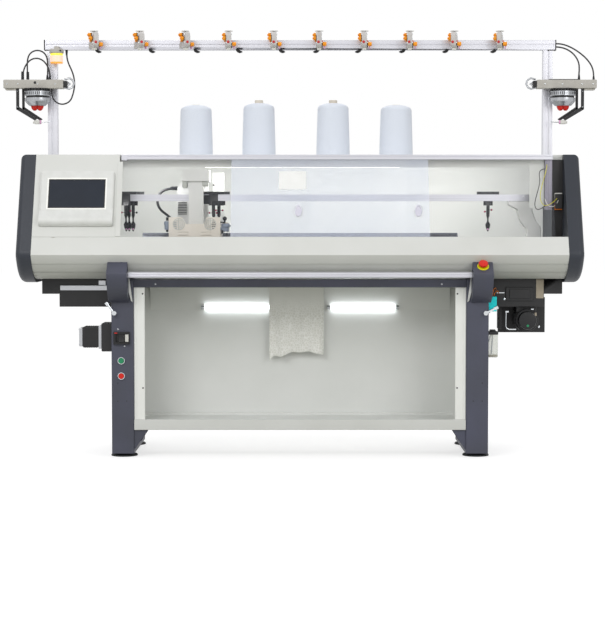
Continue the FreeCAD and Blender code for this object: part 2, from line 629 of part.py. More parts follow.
def end_cover():
    corners = [
        (front, s.bulge_height, s.end_cover_radius),
        (along(s.underside_recess), s.end_cover_foot), (cover_back, s.end_cover_foot),
        (cover_back, s.deck_height), (along(s.top_recess), s.deck_height),
    ]
    body = prism("end_cover", "YZ", corners, inner_half, s.end_cover_width)
    outer = float(s.machine_width) / 2

    def on_bulge(edge):
        box = edge.BoundBox
        return box.XLength > 1 and abs(box.ZMax - float(s.bulge_height)) < 0.01 and box.ZLength < 0.01

    def on_outside(edge):
        return edge.BoundBox.XMin > outer - 0.01

    return rounded("end_cover_shell", rounded("end_cover_nose", body, s.bulge_round, on_bulge),
                   s.end_cover_round, on_outside)


right_cover = end_cover()
node("end_covers", grouped("end_covers", right_cover, mirrored("left_end_cover", right_cover)))


def cover_corners():
    """The front cover's section: sill, sloping face, round grooved underside, and the same inside."""
    wall, depth, radius = s.cover_wall, s.groove_depth, s.underside_radius
    corners = [
        (along(s.sill_recess), s.sill_height), (front, s.bulge_height, radius),
    ]
    for groove in (s.upper_groove, s.lower_groove):
        upper, lower = groove + s.groove_width / 2, groove - s.groove_width / 2
        corners += [
            (on_round(upper), upper), (on_round(upper) + depth, upper),
            (on_round(lower) + depth, lower), (on_round(lower), lower, radius),
        ]
    corners += [
        (along(s.underside_recess), s.underside_height),
        (along(s.underside_recess), s.underside_height + wall, -(radius - wall)),
        (ROUND.x - math.sqrt((float(radius) - float(wall)) ** 2 - (ROUND.y - float(s.bulge_height)) ** 2),
         s.bulge_height),
        (along(s.sill_recess + wall), s.sill_height - wall),
        (along(s.sill_recess + s.sill_depth), s.sill_height - wall),
        (along(s.sill_recess + s.sill_depth), s.sill_height),
    ]
    return corners


node("front_cover", prism("front_cover", "YZ", cover_corners(), -inner_half, inner_half * 2))

rear = block("rear", (-inner_half, inner_half), (cover_back - s.sheet_wall, cover_back),
             (s.end_cover_foot, s.deck_height - s.cover_wall))
node("rear_cover", rear)

deck_front = along(s.top_recess) + s.rail_depth
deck_corners = [
    (deck_front, s.deck_height), (cover_back, s.deck_height), (cover_back, s.deck_height - s.cover_wall),
    (deck_front + s.sheet_wall, s.deck_height - s.cover_wall),
    (deck_front + s.sheet_wall, s.deck_height - s.lip_height), (deck_front, s.deck_height - s.lip_height),
]
node("top_deck", prism("deck", "YZ", deck_corners, -inner_half, inner_half * 2))

rail_front = along(s.top_recess)
groove_top = s.deck_height - s.rail_groove_top
rail_corners = [
    (rail_front, rail_low), (deck_front, rail_low), (deck_front, s.deck_height), (rail_front, s.deck_height),
    (rail_front, groove_top), (rail_front + s.rail_groove, groove_top),
    (rail_front + s.rail_groove, groove_top - s.rail_groove), (rail_front, groove_top - s.rail_groove),
]
top_rail = prism("rail", "YZ", rail_corners, -s.rail_left, s.rail_left + s.rail_right)
upright = block("upright", (s.rail_right - s.upright_width, s.rail_right), (deck_front - s.upright_depth, deck_front),
                (s.sill_height + s.upright_rise, rail_low))
rail_bracket = block("rail_bracket", (-s.rail_left - s.rail_bracket_width, -s.rail_left),
                     (rail_front + s.rail_bracket_lap, deck_front), (rail_low - s.rail_bracket_lap, s.deck_height))
node("top_rail", grouped("top_rail", top_rail, upright, rail_bracket))

# --- console ---------------------------------------------------------------------------------------------
console_tilt = math.degrees(math.atan(float(front_slope)))
console_corners = [
    (along(s.sill_recess), s.sill_height), (along(s.top_recess), s.deck_height),
    (deck_front, s.deck_height), (deck_front, s.deck_height - s.console_wall),
    (along(s.top_recess) + s.console_wall, s.deck_height - s.console_wall),
    (along(s.sill_recess) + s.console_wall, s.sill_height),
]
console_left = -inner_half
console = prism("console", "YZ", console_corners, console_left, s.console_width)
cheek_corners = [
    (along(s.sill_recess) + s.console_wall, s.sill_height), (along(s.sill_recess) + s.console_side, s.sill_height),
    (along(s.top_recess) + s.console_side, s.deck_height - s.console_wall),
    (along(s.top_recess) + s.console_wall, s.deck_height - s.console_wall),
]
cheek = prism("cheek", "YZ", cheek_corners, console_right - s.sheet_wall, s.sheet_wall)
node("console_cover", fused("console_cover", console, cheek))


def on_console(name, across, up, proud, bend=None):
    """A plate on the console's sloping face; across and up are its (low, high) edges, bend rounds its corners."""
    corners = [(across[0], up[0]), (across[1], up[0]), (across[1], up[1]), (across[0], up[1])]
    if bend is not None:
        corners = [
            (across[0] + bend, up[0]), (across[1] - bend, up[0], bend), (across[1], up[0] + bend),
            (across[1], up[1] - bend, bend), (across[1] - bend, up[1]), (across[0] + bend, up[1], bend),
            (across[0], up[1] - bend), (across[0], up[0] + bend, bend),
        ]
    body = prism(name, "XY", corners, 0, proud[1] - proud[0])
    normal = Vector(0, -math.cos(math.radians(console_tilt)), math.sin(math.radians(console_tilt)))
    foot = Vector(float(console_left), float(along(s.sill_recess)), float(s.sill_height))
    body.Placement = Placement(foot + normal * float(proud[0]), Rotation(Vector(1, 0, 0), 90 - console_tilt))
    for axis in "xyz":
        body.setExpression("Placement.Base." + axis, None)
    return body


bezel_x = (s.bezel_side, s.bezel_side + s.bezel_width)
bezel_up = (s.bezel_low, s.bezel_low + s.bezel_length)
screen_x = (s.bezel_side + (s.bezel_width - s.screen_width) / 2, s.bezel_side + (s.bezel_width + s.screen_width) / 2)
screen_up = (s.bezel_low + s.screen_low, s.bezel_low + s.screen_low + s.screen_length)
bezel_plate = on_console("bezel_plate", bezel_x, bezel_up, (sized(0), s.bezel_thick), s.bezel_round)
screen_well = on_console("screen_well", screen_x, screen_up, (s.bezel_thick - s.screen_thick, s.bezel_thick + 1))
node("console_bezel", cut("bezel", bezel_plate, screen_well))
node("screen_glass", on_console("screen", screen_x, screen_up, (s.bezel_thick - s.screen_thick, s.bezel_thick)))

# --- clear doors and the fixed pane -------------------------------------------------------------------
door_foot = along(s.sill_recess + 10)
door_rise = rail_low - s.sill_height - s.pane_play * 2
door_lean = math.atan(float(front_slope))
door_length = (door_rise - s.pane_thick * math.sin(door_lean)) / math.cos(door_lean)


def pull_outline(left, right, low, high, corner):
    """An upright rectangle with its corners cut off."""
    return [
        (left + corner, low), (right - corner, low), (right, low + corner), (right, high - corner),
        (right - corner, high), (left + corner, high), (left, high - corner), (left, low + corner),
    ]


def pane(name, left, width, step, pull=None):
    """A clear pane that leans back like the console; step is how far behind the front track it runs."""
    turn = Rotation(Vector(1, 0, 0), 90 - math.degrees(door_lean))
    foot = Vector(0, float(door_foot) + step, float(s.sill_height + s.pane_play))
    plate = prism(name + "_plate", "XY", [(left, 0), (left + width, 0), (left + width, door_length),
                                          (left, door_length)], 0, s.pane_thick)
    parts = [plate]
    if pull is not None:
        left, right = pull - s.pull_width / 2, pull + s.pull_width / 2
        low, high, wall = s.pull_low, s.pull_low + s.pull_length, s.pull_wall
        outer = prism(name + "_pull", "XY", pull_outline(left, right, low, high, s.pull_corner), 0,
                      s.pane_thick + s.pull_proud)
        inside = pull_outline(left + wall, right - wall, low + wall, high - wall, s.pull_corner - wall / 2)
        hollow = prism(name + "_hollow", "XY", inside, s.pane_thick - 2, s.pull_proud + 3)
        whole = cut(name, fused(name + "_blank", plate, outer), hollow)
    else:
        whole = plate
    holder = doc.addObject("Part::Compound", name)
    holder.Links = [whole]
    holder.Placement = Placement(foot, turn)
    return holder


left_door = pane("left_door", -s.door_left_end, s.left_door_width, 0.0,
                 s.left_door_width - s.door_left_end - s.pull_inset)
node("left_door", left_door)
node("right_door", pane("right_door", s.right_door_end - s.right_door_width, s.right_door_width, 0.0,
                        s.right_door_end - s.right_door_width + s.pull_inset))
node("centre_pane", pane("centre_pane", -s.pane_left, s.pane_width, float(s.pane_step)))

# --- machine bed, needle beds and bars -------------------------------------------------------------------
def both_sides(half_profile):
    """A half profile (distance from the throat, height), front side first, closed by its mirror."""
    front_half = [(throat - out, up) for out, up in half_profile]
    return front_half + [(throat + out, up) for out, up in reversed(half_profile)]


bed_half = [
    (s.base_half, s.bed_base), (s.base_half, s.ledge_low), (s.ledge_half, s.ledge_low),
    (s.ledge_half, s.ledge_high), (s.ledge_half - s.ledge_wide, s.ledge_high),
    (s.ledge_half - s.ledge_wide, s.throat_height - s.needle_bed_thick - s.needle_bed_run),
    (s.needle_bed_run + s.throat_half, s.throat_height - s.needle_bed_thick - s.needle_bed_run),
    (s.bed_slot, s.throat_height - s.needle_bed_thick - s.bed_slot + s.throat_half),
]
bed_blank = prism("bed_blank", "YZ", both_sides(bed_half), -inner_half, inner_half * 2)
slot_half = s.needle_bed_length / 2
bed_slot = block("bed_slot", (-slot_half, slot_half), (throat - s.bed_slot, throat + s.bed_slot),
                 (s.bed_base - 1, s.throat_height))
roller_pocket = block("roller_pocket", (-s.bay_half, s.bay_half),
                      (throat - s.roller_pocket, throat + s.roller_pocket),
                      (s.bed_base - 1, s.roller_pocket_top))
roller_y = s.roller_radius + s.roller_gap / 2
journal_holes = [
    rod("journal_hole", s.journal_radius + s.run_fit, (s.bay_half + s.journal_length + 1) * 2,
        -s.bay_half - s.journal_length - 1, throat + roller_y * side, s.roller_height, "x")
    for side in (-1, 1)
]
node("machine_bed", cut("machine_bed", bed_blank, bed_slot, roller_pocket, *journal_holes))

needle_half = s.needle_bed_length / 2
needle_corners = [
    (throat - s.throat_half, s.throat_height), (throat - s.throat_half, s.throat_height - s.needle_bed_thick),
    (throat - s.throat_half - s.needle_bed_run, s.throat_height - s.needle_bed_thick - s.needle_bed_run),
    (throat - s.throat_half - s.needle_bed_run, s.throat_height - s.needle_bed_run),
]
rear_corners = [(throat * 2 - across, up) for across, up in needle_corners]
node("front_needle_bed", prism("front_needles", "YZ", needle_corners, -needle_half, s.needle_bed_length))
node("rear_needle_bed", prism("rear_needles", "YZ", rear_corners, -needle_half, s.needle_bed_length))

bar_out = s.ledge_half - s.ledge_wide / 2
guide_z = s.ledge_high + s.bar_radius
bars = [rod("guide_bar", s.bar_radius, inner_half * 2, -inner_half, throat + bar_out * side, guide_z, "x")
        for side in (-1, 1)]
node("carriage_rails", grouped("carriage_rails", *bars))

for name, side in (("front_roller", -1), ("rear_roller", 1)):
    y = throat + roller_y * side
    drum = rod(name + "_drum", s.roller_radius, (s.bay_half - 1) * 2, -s.bay_half + 1, y, s.roller_height, "x")
    axle = rod(name + "_axle", s.journal_radius, (s.bay_half + s.journal_length) * 2,
               -s.bay_half - s.journal_length, y, s.roller_height, "x")
    node("takedown_" + name, fused(name, drum, axle))

# --- carriage ----------------------------------------------------------------------------------------------
car_left = -s.carriage_middle - s.carriage_width / 2
seat = s.bar_radius + s.bar_fit
# the cams stay clear of a line 45 degrees down from the throat
cam_line = s.throat_height - s.throat_half + s.cam_gap * math.sqrt(2)


def cam_corners(mirror):
    """Section of a cam carriage over one needle bed: its saddle sits on the guide bar."""
    low = guide_z
    foot_out = cam_line - low + s.throat_half * 2
    turn = -seat if mirror > 0 else seat
    outline = [
        (s.cam_outer, low), (s.cam_outer, s.cam_shoulder), (s.cam_outer - 45, s.cam_top),
        (s.cam_inner, s.cam_top), (s.cam_inner, cam_line - s.cam_inner + s.throat_half * 2),
        (foot_out, low), (bar_out - seat, low, turn), (bar_out, low + seat, turn), (bar_out + seat, low),
    ]
    corners = []
    for corner in outline:
        corners.append((throat + corner[0] * mirror,) + tuple(corner[1:]))
    return corners


front_cams = prism("front_cams", "YZ", cam_corners(-1), car_left, s.carriage_width)
rear_cams = prism("rear_cams", "YZ", cam_corners(1), car_left, s.carriage_width)


def fan_tools(y, middle, tag):
    """The slots of one round fan grille."""
    tools = []
    radius = float(s.fan_radius)
    for step in (-2, -1, 0, 1, 2):
        rise = s.fan_pitch * step
        half = math.sqrt(radius ** 2 - float(rise) ** 2)
        tools.append(block("fan_slot_%s_%d" % (tag, step), (middle - half, middle + half), y,
                           (s.fan_height + rise - s.fan_slot / 2, s.fan_height + rise + s.fan_slot / 2)))
    return tools


def plate_corners():
    mid, half = -s.carriage_middle, s.carriage_width / 2
    return [
        (mid - half, s.front_plate_low), (mid + half, s.front_plate_low), (mid + half, s.front_plate_top),
        (mid + s.notch_top_half, s.front_plate_top), (mid + s.notch_half, s.front_plate_notch),
        (mid - s.notch_half, s.front_plate_notch), (mid - s.notch_top_half, s.front_plate_top),
        (mid - half, s.front_plate_top),
    ]


plate_back = throat - s.cam_outer
plate_y = (plate_back - s.front_plate_thick, plate_back)
plate = prism("front_plate", "XZ", plate_corners(), plate_y[0], s.front_plate_thick)
tools = []
for side, tag in ((-1, "left"), (1, "right")):
    tools += fan_tools((plate_y[0] - 1, plate_y[1] + 1), -s.carriage_middle + s.fan_side * side, tag)
    for row in (0, 1):
        middle = -s.carriage_middle + (s.vent_side + s.vent_length / 2) * side
        height = s.vent_height + s.vent_pitch * row
        tools.append(block("vent_%s_%d" % (tag, row), (middle - s.vent_length / 2, middle + s.vent_length / 2),
                           (plate_y[0] - 1, plate_y[1] + 1), (height, height + s.vent_gap)))
open_plate = cut("open_plate", plate, grouped("plate_openings", *tools))
flanges = []
for side, tag in ((-1, "left"), (1, "right")):
    edge = -s.carriage_middle + (s.carriage_width / 2 - s.sheet_wall / 2) * side
    flanges.append(block("flange_" + tag, (edge - s.sheet_wall / 2, edge + s.sheet_wall / 2),
                         (plate_y[1], plate_y[1] + s.front_plate_fold), (s.cam_top, s.front_plate_top)))
front_shell = fused("front_shell", open_plate, *flanges)
node("carriage_front", grouped("carriage_front", front_shell, front_cams))

rear_plate = block("rear_plate", (car_left, car_left + s.carriage_width),
                   (throat + s.cam_outer, throat + s.cam_outer + s.front_plate_thick),
                   (s.front_plate_low, s.front_plate_notch))
side_plate = prism("side_plate", "XZ", [
    (-s.side_plate_left, s.cam_top), (-s.side_plate_right, s.cam_top), (-s.side_plate_right, s.side_plate_top),
    (-s.side_plate_left, s.side_plate_top),
], s.side_plate_front, s.sheet_wall)
node("carriage_rear", grouped("carriage_rear", rear_plate, rear_cams, side_plate))

bridge_out = s.bridge_inner + s.bridge_leg
bend = s.bridge_round
bridge_corners = [
    (throat - bridge_out, s.cam_top), (throat - s.bridge_inner, s.cam_top),
    (throat - s.bridge_inner, s.bridge_head_low - bend, -bend), (throat - s.bridge_inner + bend, s.bridge_head_low),
    (throat + s.bridge_inner - bend, s.bridge_head_low, -bend), (throat + s.bridge_inner, s.bridge_head_low - bend),
    (throat + s.bridge_inner, s.cam_top), (throat + bridge_out, s.cam_top),
    (throat + bridge_out, s.bridge_head_high), (throat - bridge_out, s.bridge_head_high),
]
arch = prism("arch", "YZ", bridge_corners, -s.carriage_middle - s.bridge_width / 2, s.bridge_width)
head = block("head", (-s.carriage_middle - s.bridge_head_width / 2, -s.carriage_middle + s.bridge_head_width / 2),
             (throat - bridge_out - s.bridge_head_proud, throat + bridge_out + s.bridge_head_proud),
             (s.bridge_head_low, s.bridge_head_high))
rear_column = prism("rear_column", "XZ", [
    (-s.rear_column_left, s.cam_top), (-s.rear_column_right, s.cam_top), (-s.rear_column_right, s.bridge_head_low),
    (-s.rear_column_left + s.rear_column_bevel, s.bridge_head_low),
    (-s.rear_column_left, s.bridge_head_low - s.rear_column_bevel),
], throat + s.bridge_inner, s.bridge_leg)
node("carriage_bridge", fused("carriage_bridge", arch, head, rear_column))

# --- yarn carriers and their rails ---------------------------------------------------------------------------
rails = []
for lane in (-1, 0, 1):
    middle = throat + s.lane_pitch * lane
    rails.append(block("carrier_rail", (-s.carrier_rail_half, s.carrier_rail_half),
                       (middle - s.carrier_rail_thick / 2, middle + s.carrier_rail_thick / 2),
                       (s.carrier_rail_low, s.carrier_rail_high)))
node("carrier_rails", grouped("carrier_rails", *rails))

support_corners = [
    (s.support_top_left, s.carrier_rail_low), (s.support_top_left, s.carrier_rail_low - 18),
    (s.support_top_left + 40, s.carrier_rail_low - 40, s.support_bend), (s.support_foot_left, s.bed_crown + 70),
    (s.support_foot_left, s.bed_crown), (s.support_foot_right, s.bed_crown),
    (s.support_foot_right, s.bed_crown + 80, -s.support_bend), (s.support_top_right, s.carrier_rail_low),
]
support = prism("support", "XZ", support_corners, throat - s.support_thick / 2, s.support_thick)
node("rail_supports", grouped("rail_supports", support, mirrored("left_support", support)))


def carrier(name, x, lane):
    """A saddle on its own rail with a broad head, and a finger that leans in to the throat."""
    middle = throat + s.lane_pitch * lane
    inside, wall = s.carrier_rail_thick / 2 + s.carrier_fit, s.carrier_wall
    outside = inside + wall
    top = s.carrier_rail_high + s.carrier_fit
    low = s.carrier_rail_low - s.carrier_drop
    saddle = prism(name + "_saddle", "YZ", [
        (middle - outside, low), (middle - inside, low), (middle - inside, top), (middle + inside, top),
        (middle + inside, s.carrier_rail_low), (middle + outside, s.carrier_rail_low),
        (middle + outside, top + s.wing_height), (middle - outside, top + s.wing_height),
    ], x - s.carrier_width / 2, s.carrier_width)
    wing = block(name + "_wing", (x - s.wing_width / 2, x + s.wing_width / 2), (middle - outside, middle + outside),
                 (top, top + s.wing_height))
    tip = throat + s.tip_pitch * lane
    lean = prism(name + "_lean", "YZ", [
        (middle - outside, low), (middle - outside + s.finger_thick, low),
        (tip + s.finger_thick / 2, s.finger_tip), (tip - s.finger_thick / 2, s.finger_tip),
    ], x - s.finger_flare, s.finger_flare * 2)
    half, neck = s.finger_width / 2, s.finger_neck / 2
    shape = []
    for side in (1, -1):
        rim = [(half, low), (half, s.finger_waist), (neck, s.finger_waist - 12), (neck, s.finger_shoulder + 14),
               (s.finger_flare, s.finger_shoulder), (s.finger_flare - 2, s.finger_shoulder - 14),
               (s.finger_point / 2, s.finger_tip)]
        rim = [(x + out * side, up) for out, up in rim]
        shape += rim if side > 0 else rim[::-1]
    front_view = prism(name + "_outline", "XZ", shape, throat - s.lane_pitch * 2, s.lane_pitch * 4)
    finger = doc.addObject("Part::Common", name + "_finger")
    finger.Base, finger.Tool = lean, front_view
    return fused(name, saddle, wing, finger)


CARRIERS = ((-795, -1), (-782, 0), (-765, 1), (-395, -1), (-372, 1), (859, 0))
for number, (x, lane) in enumerate(CARRIERS, 1):
    node("yarn_carrier_%d" % number, carrier("carrier_%d" % number, sized(x), lane))

# --- equipment at both sides --------------------------------------------------------------------------------
box_y = (-s.box_front, -s.box_back)
left_end_box = block("left_end_box", (-s.left_box_out, -s.left_box_in), box_y, (s.end_box_low, s.bed_base))
left_tray = prism("left_tray", "XZ", [
    (-s.left_box_in, s.side_tray_low), (-leg_outer, s.side_tray_low), (-leg_outer, s.side_tray_step),
    (-s.tray_in, s.side_tray_step), (-s.tray_in, s.bed_base), (-s.left_box_in, s.bed_base),
], -s.box_front, s.box_front - s.box_back)
right_end_box = block("right_end_box", (s.right_box_in, s.right_box_out), box_y, (s.end_box_low, s.bed_base))
right_box = block("right_box", (leg_outer, s.right_box_in), box_y, (s.side_tray_low, s.bed_base))
node("side_boxes", grouped("side_boxes", left_end_box, left_tray, right_end_box, right_box))

plate_front = -s.box_front - s.plate_thick
motor_plate = block("motor_plate", (s.plate_in, s.right_box_in), (plate_front, -s.box_front),
                    (s.plate_low, s.plate_high))
motor = polygon_bar("motor", s.motor_radius, s.motor_length, s.motor_side, -s.box_front, s.motor_height,
                    TURNS["y"], many)
motor_cap = polygon_bar("motor_cap", s.motor_cap, s.motor_cap_depth, s.motor_side, plate_front - s.motor_cap_depth,
                        s.motor_height, TURNS["y"], many)
node("drive_motor", grouped("drive_motor", motor_plate, motor, motor_cap))

gear_x = -leg_outer - s.gear_length
gear_box = block("gear_box", (gear_x, -leg_outer), (-s.gear_back - s.gear_half, -s.gear_back + s.gear_half),
                 (s.gear_height - s.gear_half, s.gear_height + s.gear_half))
ring_x = gear_x - s.take_ring_length
body_x = ring_x - s.take_length


def motor_section(name, low, length, half):
    """A square length of the geared motor, centred on its shaft; it runs away from the left leg."""
    return block(name, (low, low + length), (-s.gear_back - half, -s.gear_back + half),
                 (s.gear_height - half, s.gear_height + half))


takedown = [
    gear_box,
    motor_section("take_flange", ring_x, s.take_ring_length, s.take_ring),
    motor_section("take_body", body_x, s.take_length, s.take_radius),
    motor_section("take_cap", body_x - s.take_cap, s.take_cap, s.take_cap_radius),
]
node("takedown_motor", fused("takedown_motor", *takedown))

bottle_x = leg_outer + s.pane_play
bottle = prism("bottle", "XZ", [
    (bottle_x, s.bottle_low), (bottle_x + s.bottle_radius * 2 - 6, s.bottle_low),
    (bottle_x + s.bottle_radius * 2, s.bottle_low + 6), (bottle_x + s.bottle_radius * 2, s.bottle_low + s.bottle_height),
    (bottle_x, s.bottle_low + s.bottle_height),
], -s.bottle_back - s.bottle_radius, s.bottle_radius * 2)
bottle_lid = block("bottle_lid", (bottle_x, bottle_x + s.bottle_radius * 2 + 1),
                   (-s.bottle_back - s.bottle_radius, s.bottle_radius - s.bottle_back),
                   (s.bottle_low + s.bottle_height, s.bottle_low + s.bottle_height + s.bottle_cap_height))
node("oil_bottle", fused("oil_bottle", bottle, bottle_lid))

# --- gantry -----------------------------------------------------------------------------------------------
def slotted(left, low):
    """Section of a square extrusion with a slot in each side; left and low are its corner."""
    full, deep = s.post_half * 2, s.slot_depth
    near, far = s.post_half - s.slot_width / 2, s.post_half + s.slot_width / 2
    outline = [
        (0, 0), (near, 0), (near, deep), (far, deep), (far, 0), (full, 0), (full, near), (full - deep, near),
        (full - deep, far), (full, far), (full, full), (far, full), (far, full - deep), (near, full - deep),
        (near, full), (0, full), (0, far), (deep, far), (deep, near), (0, near),
    ]
    return [(left + across, low + up) for across, up in outline]


post_front = s.post_back - s.post_half
posts = [prism("post", "XY", slotted(s.post_side * side - s.post_half, post_front), s.deck_height, s.post_length)
         for side in (-1, 1)]
node("gantry_posts", grouped("gantry_posts", *posts))
yarn_rail = prism("rail_bar", "YZ", slotted(post_front, s.yarn_rail_low), -s.yarn_rail_half, s.yarn_rail_half * 2)
caps = [
    block(tag + "_cap", (start, start + s.end_cap), (post_front, s.post_back + s.post_half),
          (s.yarn_rail_low, yarn_rail_high))
    for tag, start in (("left", -s.yarn_rail_half - s.end_cap), ("right", s.yarn_rail_half))
]
node("yarn_rail", grouped("yarn_rail", yarn_rail, *caps))

lamp_y = s.lamp_forward
lamp_base = polygon_bar("lamp_base", s.lamp_base_radius, s.lamp_base_height, -s.lamp_side, lamp_y,
                        s.yarn_rail_low - s.lamp_base_height, sides=many)
lamp_arm = block("lamp_arm", (-s.lamp_side - 12, -s.lamp_side + 12), (lamp_y, s.post_back - s.post_half),
                 (s.yarn_rail_low - s.lamp_base_height / 2, s.yarn_rail_low + 14))
lens = tapered("lens", [(s.lens_radius - s.lens_chamfer, 0), (s.lens_radius, s.lens_chamfer),
                        (s.lens_radius, s.lens_height)], -s.lamp_side, lamp_y,
               s.yarn_rail_low - s.lamp_base_height - s.lens_height, many)
node("signal_lamp", grouped("signal_lamp", fused("lamp_holder", lamp_base, lamp_arm), lens))


def controller_master():
    """One yarn controller at the origin: its back is at Y 0, its clamp reaches the yarn rail."""
    bend, deep = s.controller_round, s.controller_depth
    tall = s.controller_high - s.controller_low
    housing = prism("controller_housing", "YZ", [
        (-deep, 12), (-deep + 12, 0), (0, 0), (0, tall - bend), (-bend, tall), (-deep + bend, tall),
        (-deep, tall - bend),
    ], -s.controller_thick / 2, s.controller_thick)
    return housing


master = controller_master()
doc.recompute()
YAWS = (20, 20, 20, 4, 3, 0, -2, -3, -10, -10)
clamp_y = s.post_back - s.post_half - s.controller_clamp
housings, knobs = [], []
for number, yaw in enumerate(YAWS):
    x = s.controller_pitch * number - s.controller_first
    turn = Rotation(Vector(0, 0, 1), yaw)
    spot = Vector(float(x), float(clamp_y), float(s.controller_low))
    clamp = Part.makeBox(30, float(s.controller_clamp) + 8, 30, Vector(float(x) - 15, float(clamp_y) - 8,
                                                                      float(s.controller_low)))
    shape = master.Shape.copy()
    shape.Placement = Placement(spot, turn).multiply(shape.Placement)
    housings.append(shape.fuse(clamp).removeSplitter())
    for side, forward, height in ((-1, 22, 62), (-1, 52, 50), (1, 60, 16)):
        half = float(s.controller_thick) / 2
        start = Vector(half if side > 0 else -half - float(s.knob_length), -forward, height)
        rim = [Vector(start.x, start.y + float(s.knob_radius) * math.cos(math.radians(45 * n)),
                      start.z + float(s.knob_radius) * math.sin(math.radians(45 * n))) for n in range(9)]
        knob = Part.Face(Part.makePolygon(rim)).extrude(Vector(float(s.knob_length), 0, 0))
        knob.Placement = Placement(spot, turn).multiply(knob.Placement)
        knobs.append(knob)
for label, shapes in (("yarn_controllers", housings), ("controller_knobs", knobs)):
    feature = doc.addObject("Part::Feature", label)
    feature.Shape = Part.makeCompound(shapes)
    node(label, feature)


# --- storage feeders -------------------------------------------------------------------------------------------
def feeder_housing(name, side):
    """The housing along X with its tapered outer end, and the block that clamps it to the post."""
    top = s.feeder_low + s.feeder_tall
    outline = [
        (s.feeder_in, s.feeder_low), (s.feeder_out - 6, s.feeder_low), (s.feeder_out, s.feeder_low + 8),
        (s.feeder_out, top - 14), (s.feeder_out - s.feeder_taper, top), (s.feeder_in, top),
    ]
    corners = [(across * side, up) for across, up in outline]
    case = prism(name + "_case", "XZ", corners, -s.feeder_front, s.feeder_front + s.feeder_rear)
    middle = s.post_side * side
    clamp = block(name + "_clamp", (middle - s.post_half, middle + s.post_half),
                  (s.feeder_rear, s.post_back - s.post_half), (s.feeder_low, top))
    shaft_hole = rod(name + "_shaft_hole", s.drum_shaft + s.run_fit, 21, s.feeder_side * side,
                     -s.feeder_middle, s.feeder_low - 1, "z")
    return cut(name, fused(name + "_blank", case, clamp), shaft_hole)


def feeder_drum(name, side):
    """The storage drum hangs on its shaft; its crown is notched, its skirt tapers, a red knob ends it."""
    radius, tall = s.drum_radius, s.drum_height
    x, y, low = s.feeder_side * side, -s.feeder_middle, s.feeder_low - s.drum_gap - tall
    waist, step = radius - s.drum_waist, radius - s.skirt_step
    turned_drum = tapered(name + "_turned", [
        (radius - s.skirt_taper, 0), (step, s.skirt_height), (step, s.skirt_top), (waist, s.skirt_top),
        (waist, s.crown_low), (radius, s.crown_low), (radius, tall),
    ], x, y, low, many)
    notches = []
    for turn in range(0, 360, 30):
        notch = doc.addObject("Part::Box", "%s_notch_%d" % (name, turn))
        bind(notch, "Length", s.drum_waist + 2)
        bind(notch, "Width", s.crown_notch)
        bind(notch, "Height", s.crown_notch_depth + 1)
        spin = Rotation(Vector(0, 0, 1), turn + 7.5)
        corner = spin.multVec(Vector(float(waist), -float(s.crown_notch) / 2, 0))
        notches.append(place(notch, x + corner.x, y + corner.y, low + tall - s.crown_notch_depth, spin))
    shaft = rod(name + "_shaft", s.drum_shaft, s.shaft_length, x, y, low + tall, "z")
    drum = fused(name + "_drum", cut(name + "_castle", turned_drum, grouped(name + "_notches", *notches)), shaft)
    lobe, half = s.knob_half, s.knob_depth / 2
    near_side = [(-lobe, half / 2), (half / 2 - lobe, half), (-half / 2, half), (0, half / 2), (half / 2, half),
                 (lobe - half / 2, half), (lobe, half / 2)]
    knob = prism(name + "_knob", "XY", [(x + across, y - out) for across, out in near_side]
                 + [(x + across, y + out) for across, out in near_side[::-1]], low - s.knob_height, s.knob_height)
    return grouped(name, drum, knob)


def feeder_fork(name, side):
    """Two square bars beside the drum that bend in under it and hold the eyelet."""
    parts = []
    for number in (0, 1):
        x = (s.fork_side - s.fork_pitch * number) * side
        high = s.feeder_low
        low = high - s.fork_drop
        inner = s.feeder_side * side
        half = s.fork_bar / 2
        y = -s.feeder_middle - half + (number * 14 - 7)
        parts.append(prism("%s_bar_%d" % (name, number), "XZ", [
            (x - half, high), (x - half, low), (inner - half, s.eyelet_low + s.eyelet_height),
            (inner + half, s.eyelet_low + s.eyelet_height), (x + half, low + 3), (x + half, high),
        ], y, s.fork_bar))
    return parts


for side, tag in ((-1, "left"), (1, "right")):
    node(tag + "_feeder_drum", feeder_drum(tag + "_feeder_drum", side))
housing_pair = [feeder_housing("right_feeder", 1), feeder_housing("left_feeder", -1)]
forks = feeder_fork("left_fork", -1) + feeder_fork("right_fork", 1)
eyelets = [ring("eyelet", s.eyelet_radius, s.eyelet_bore, s.eyelet_height, s.feeder_side * side,
                -s.feeder_middle, s.eyelet_low, "z") for side in (-1, 1)]
node("storage_feeders", grouped("storage_feeders", *(housing_pair + forks + eyelets)))

# --- yarn cones and the knitted fabric ---------------------------------------------------------------------
cones = []
for name in CONE_PLACES:
    tall = name in TALL_CONES
    shoulder = s.cone_height + s.cone_extra if tall else s.cone_height
    dome = s.cone_dome + s.cone_extra if tall else s.cone_dome
    tip = dome + s.cone_tip if tall else dome + s.cone_stub
    foot = (getattr(s, name), s.cone_back, s.deck_height)
    yarn = tapered("yarn", [
        (s.cone_base - s.cone_foot_round, 0), (s.cone_base, s.cone_foot_round), (s.cone_shoulder, shoulder),
        (s.cone_shoulder - 12, shoulder + 11), (s.cone_shoulder - 38, dome),
    ], *foot, many)
    tube = ring("paper_tube", s.cone_tube, s.cone_tube - s.cone_tube_wall, tip - dome, foot[0], foot[1],
                foot[2] + dome, "z")
    cones += [yarn, tube]
node("yarn_cones", grouped("yarn_cones", *cones))

FOLDS, STEPS = 5, 4


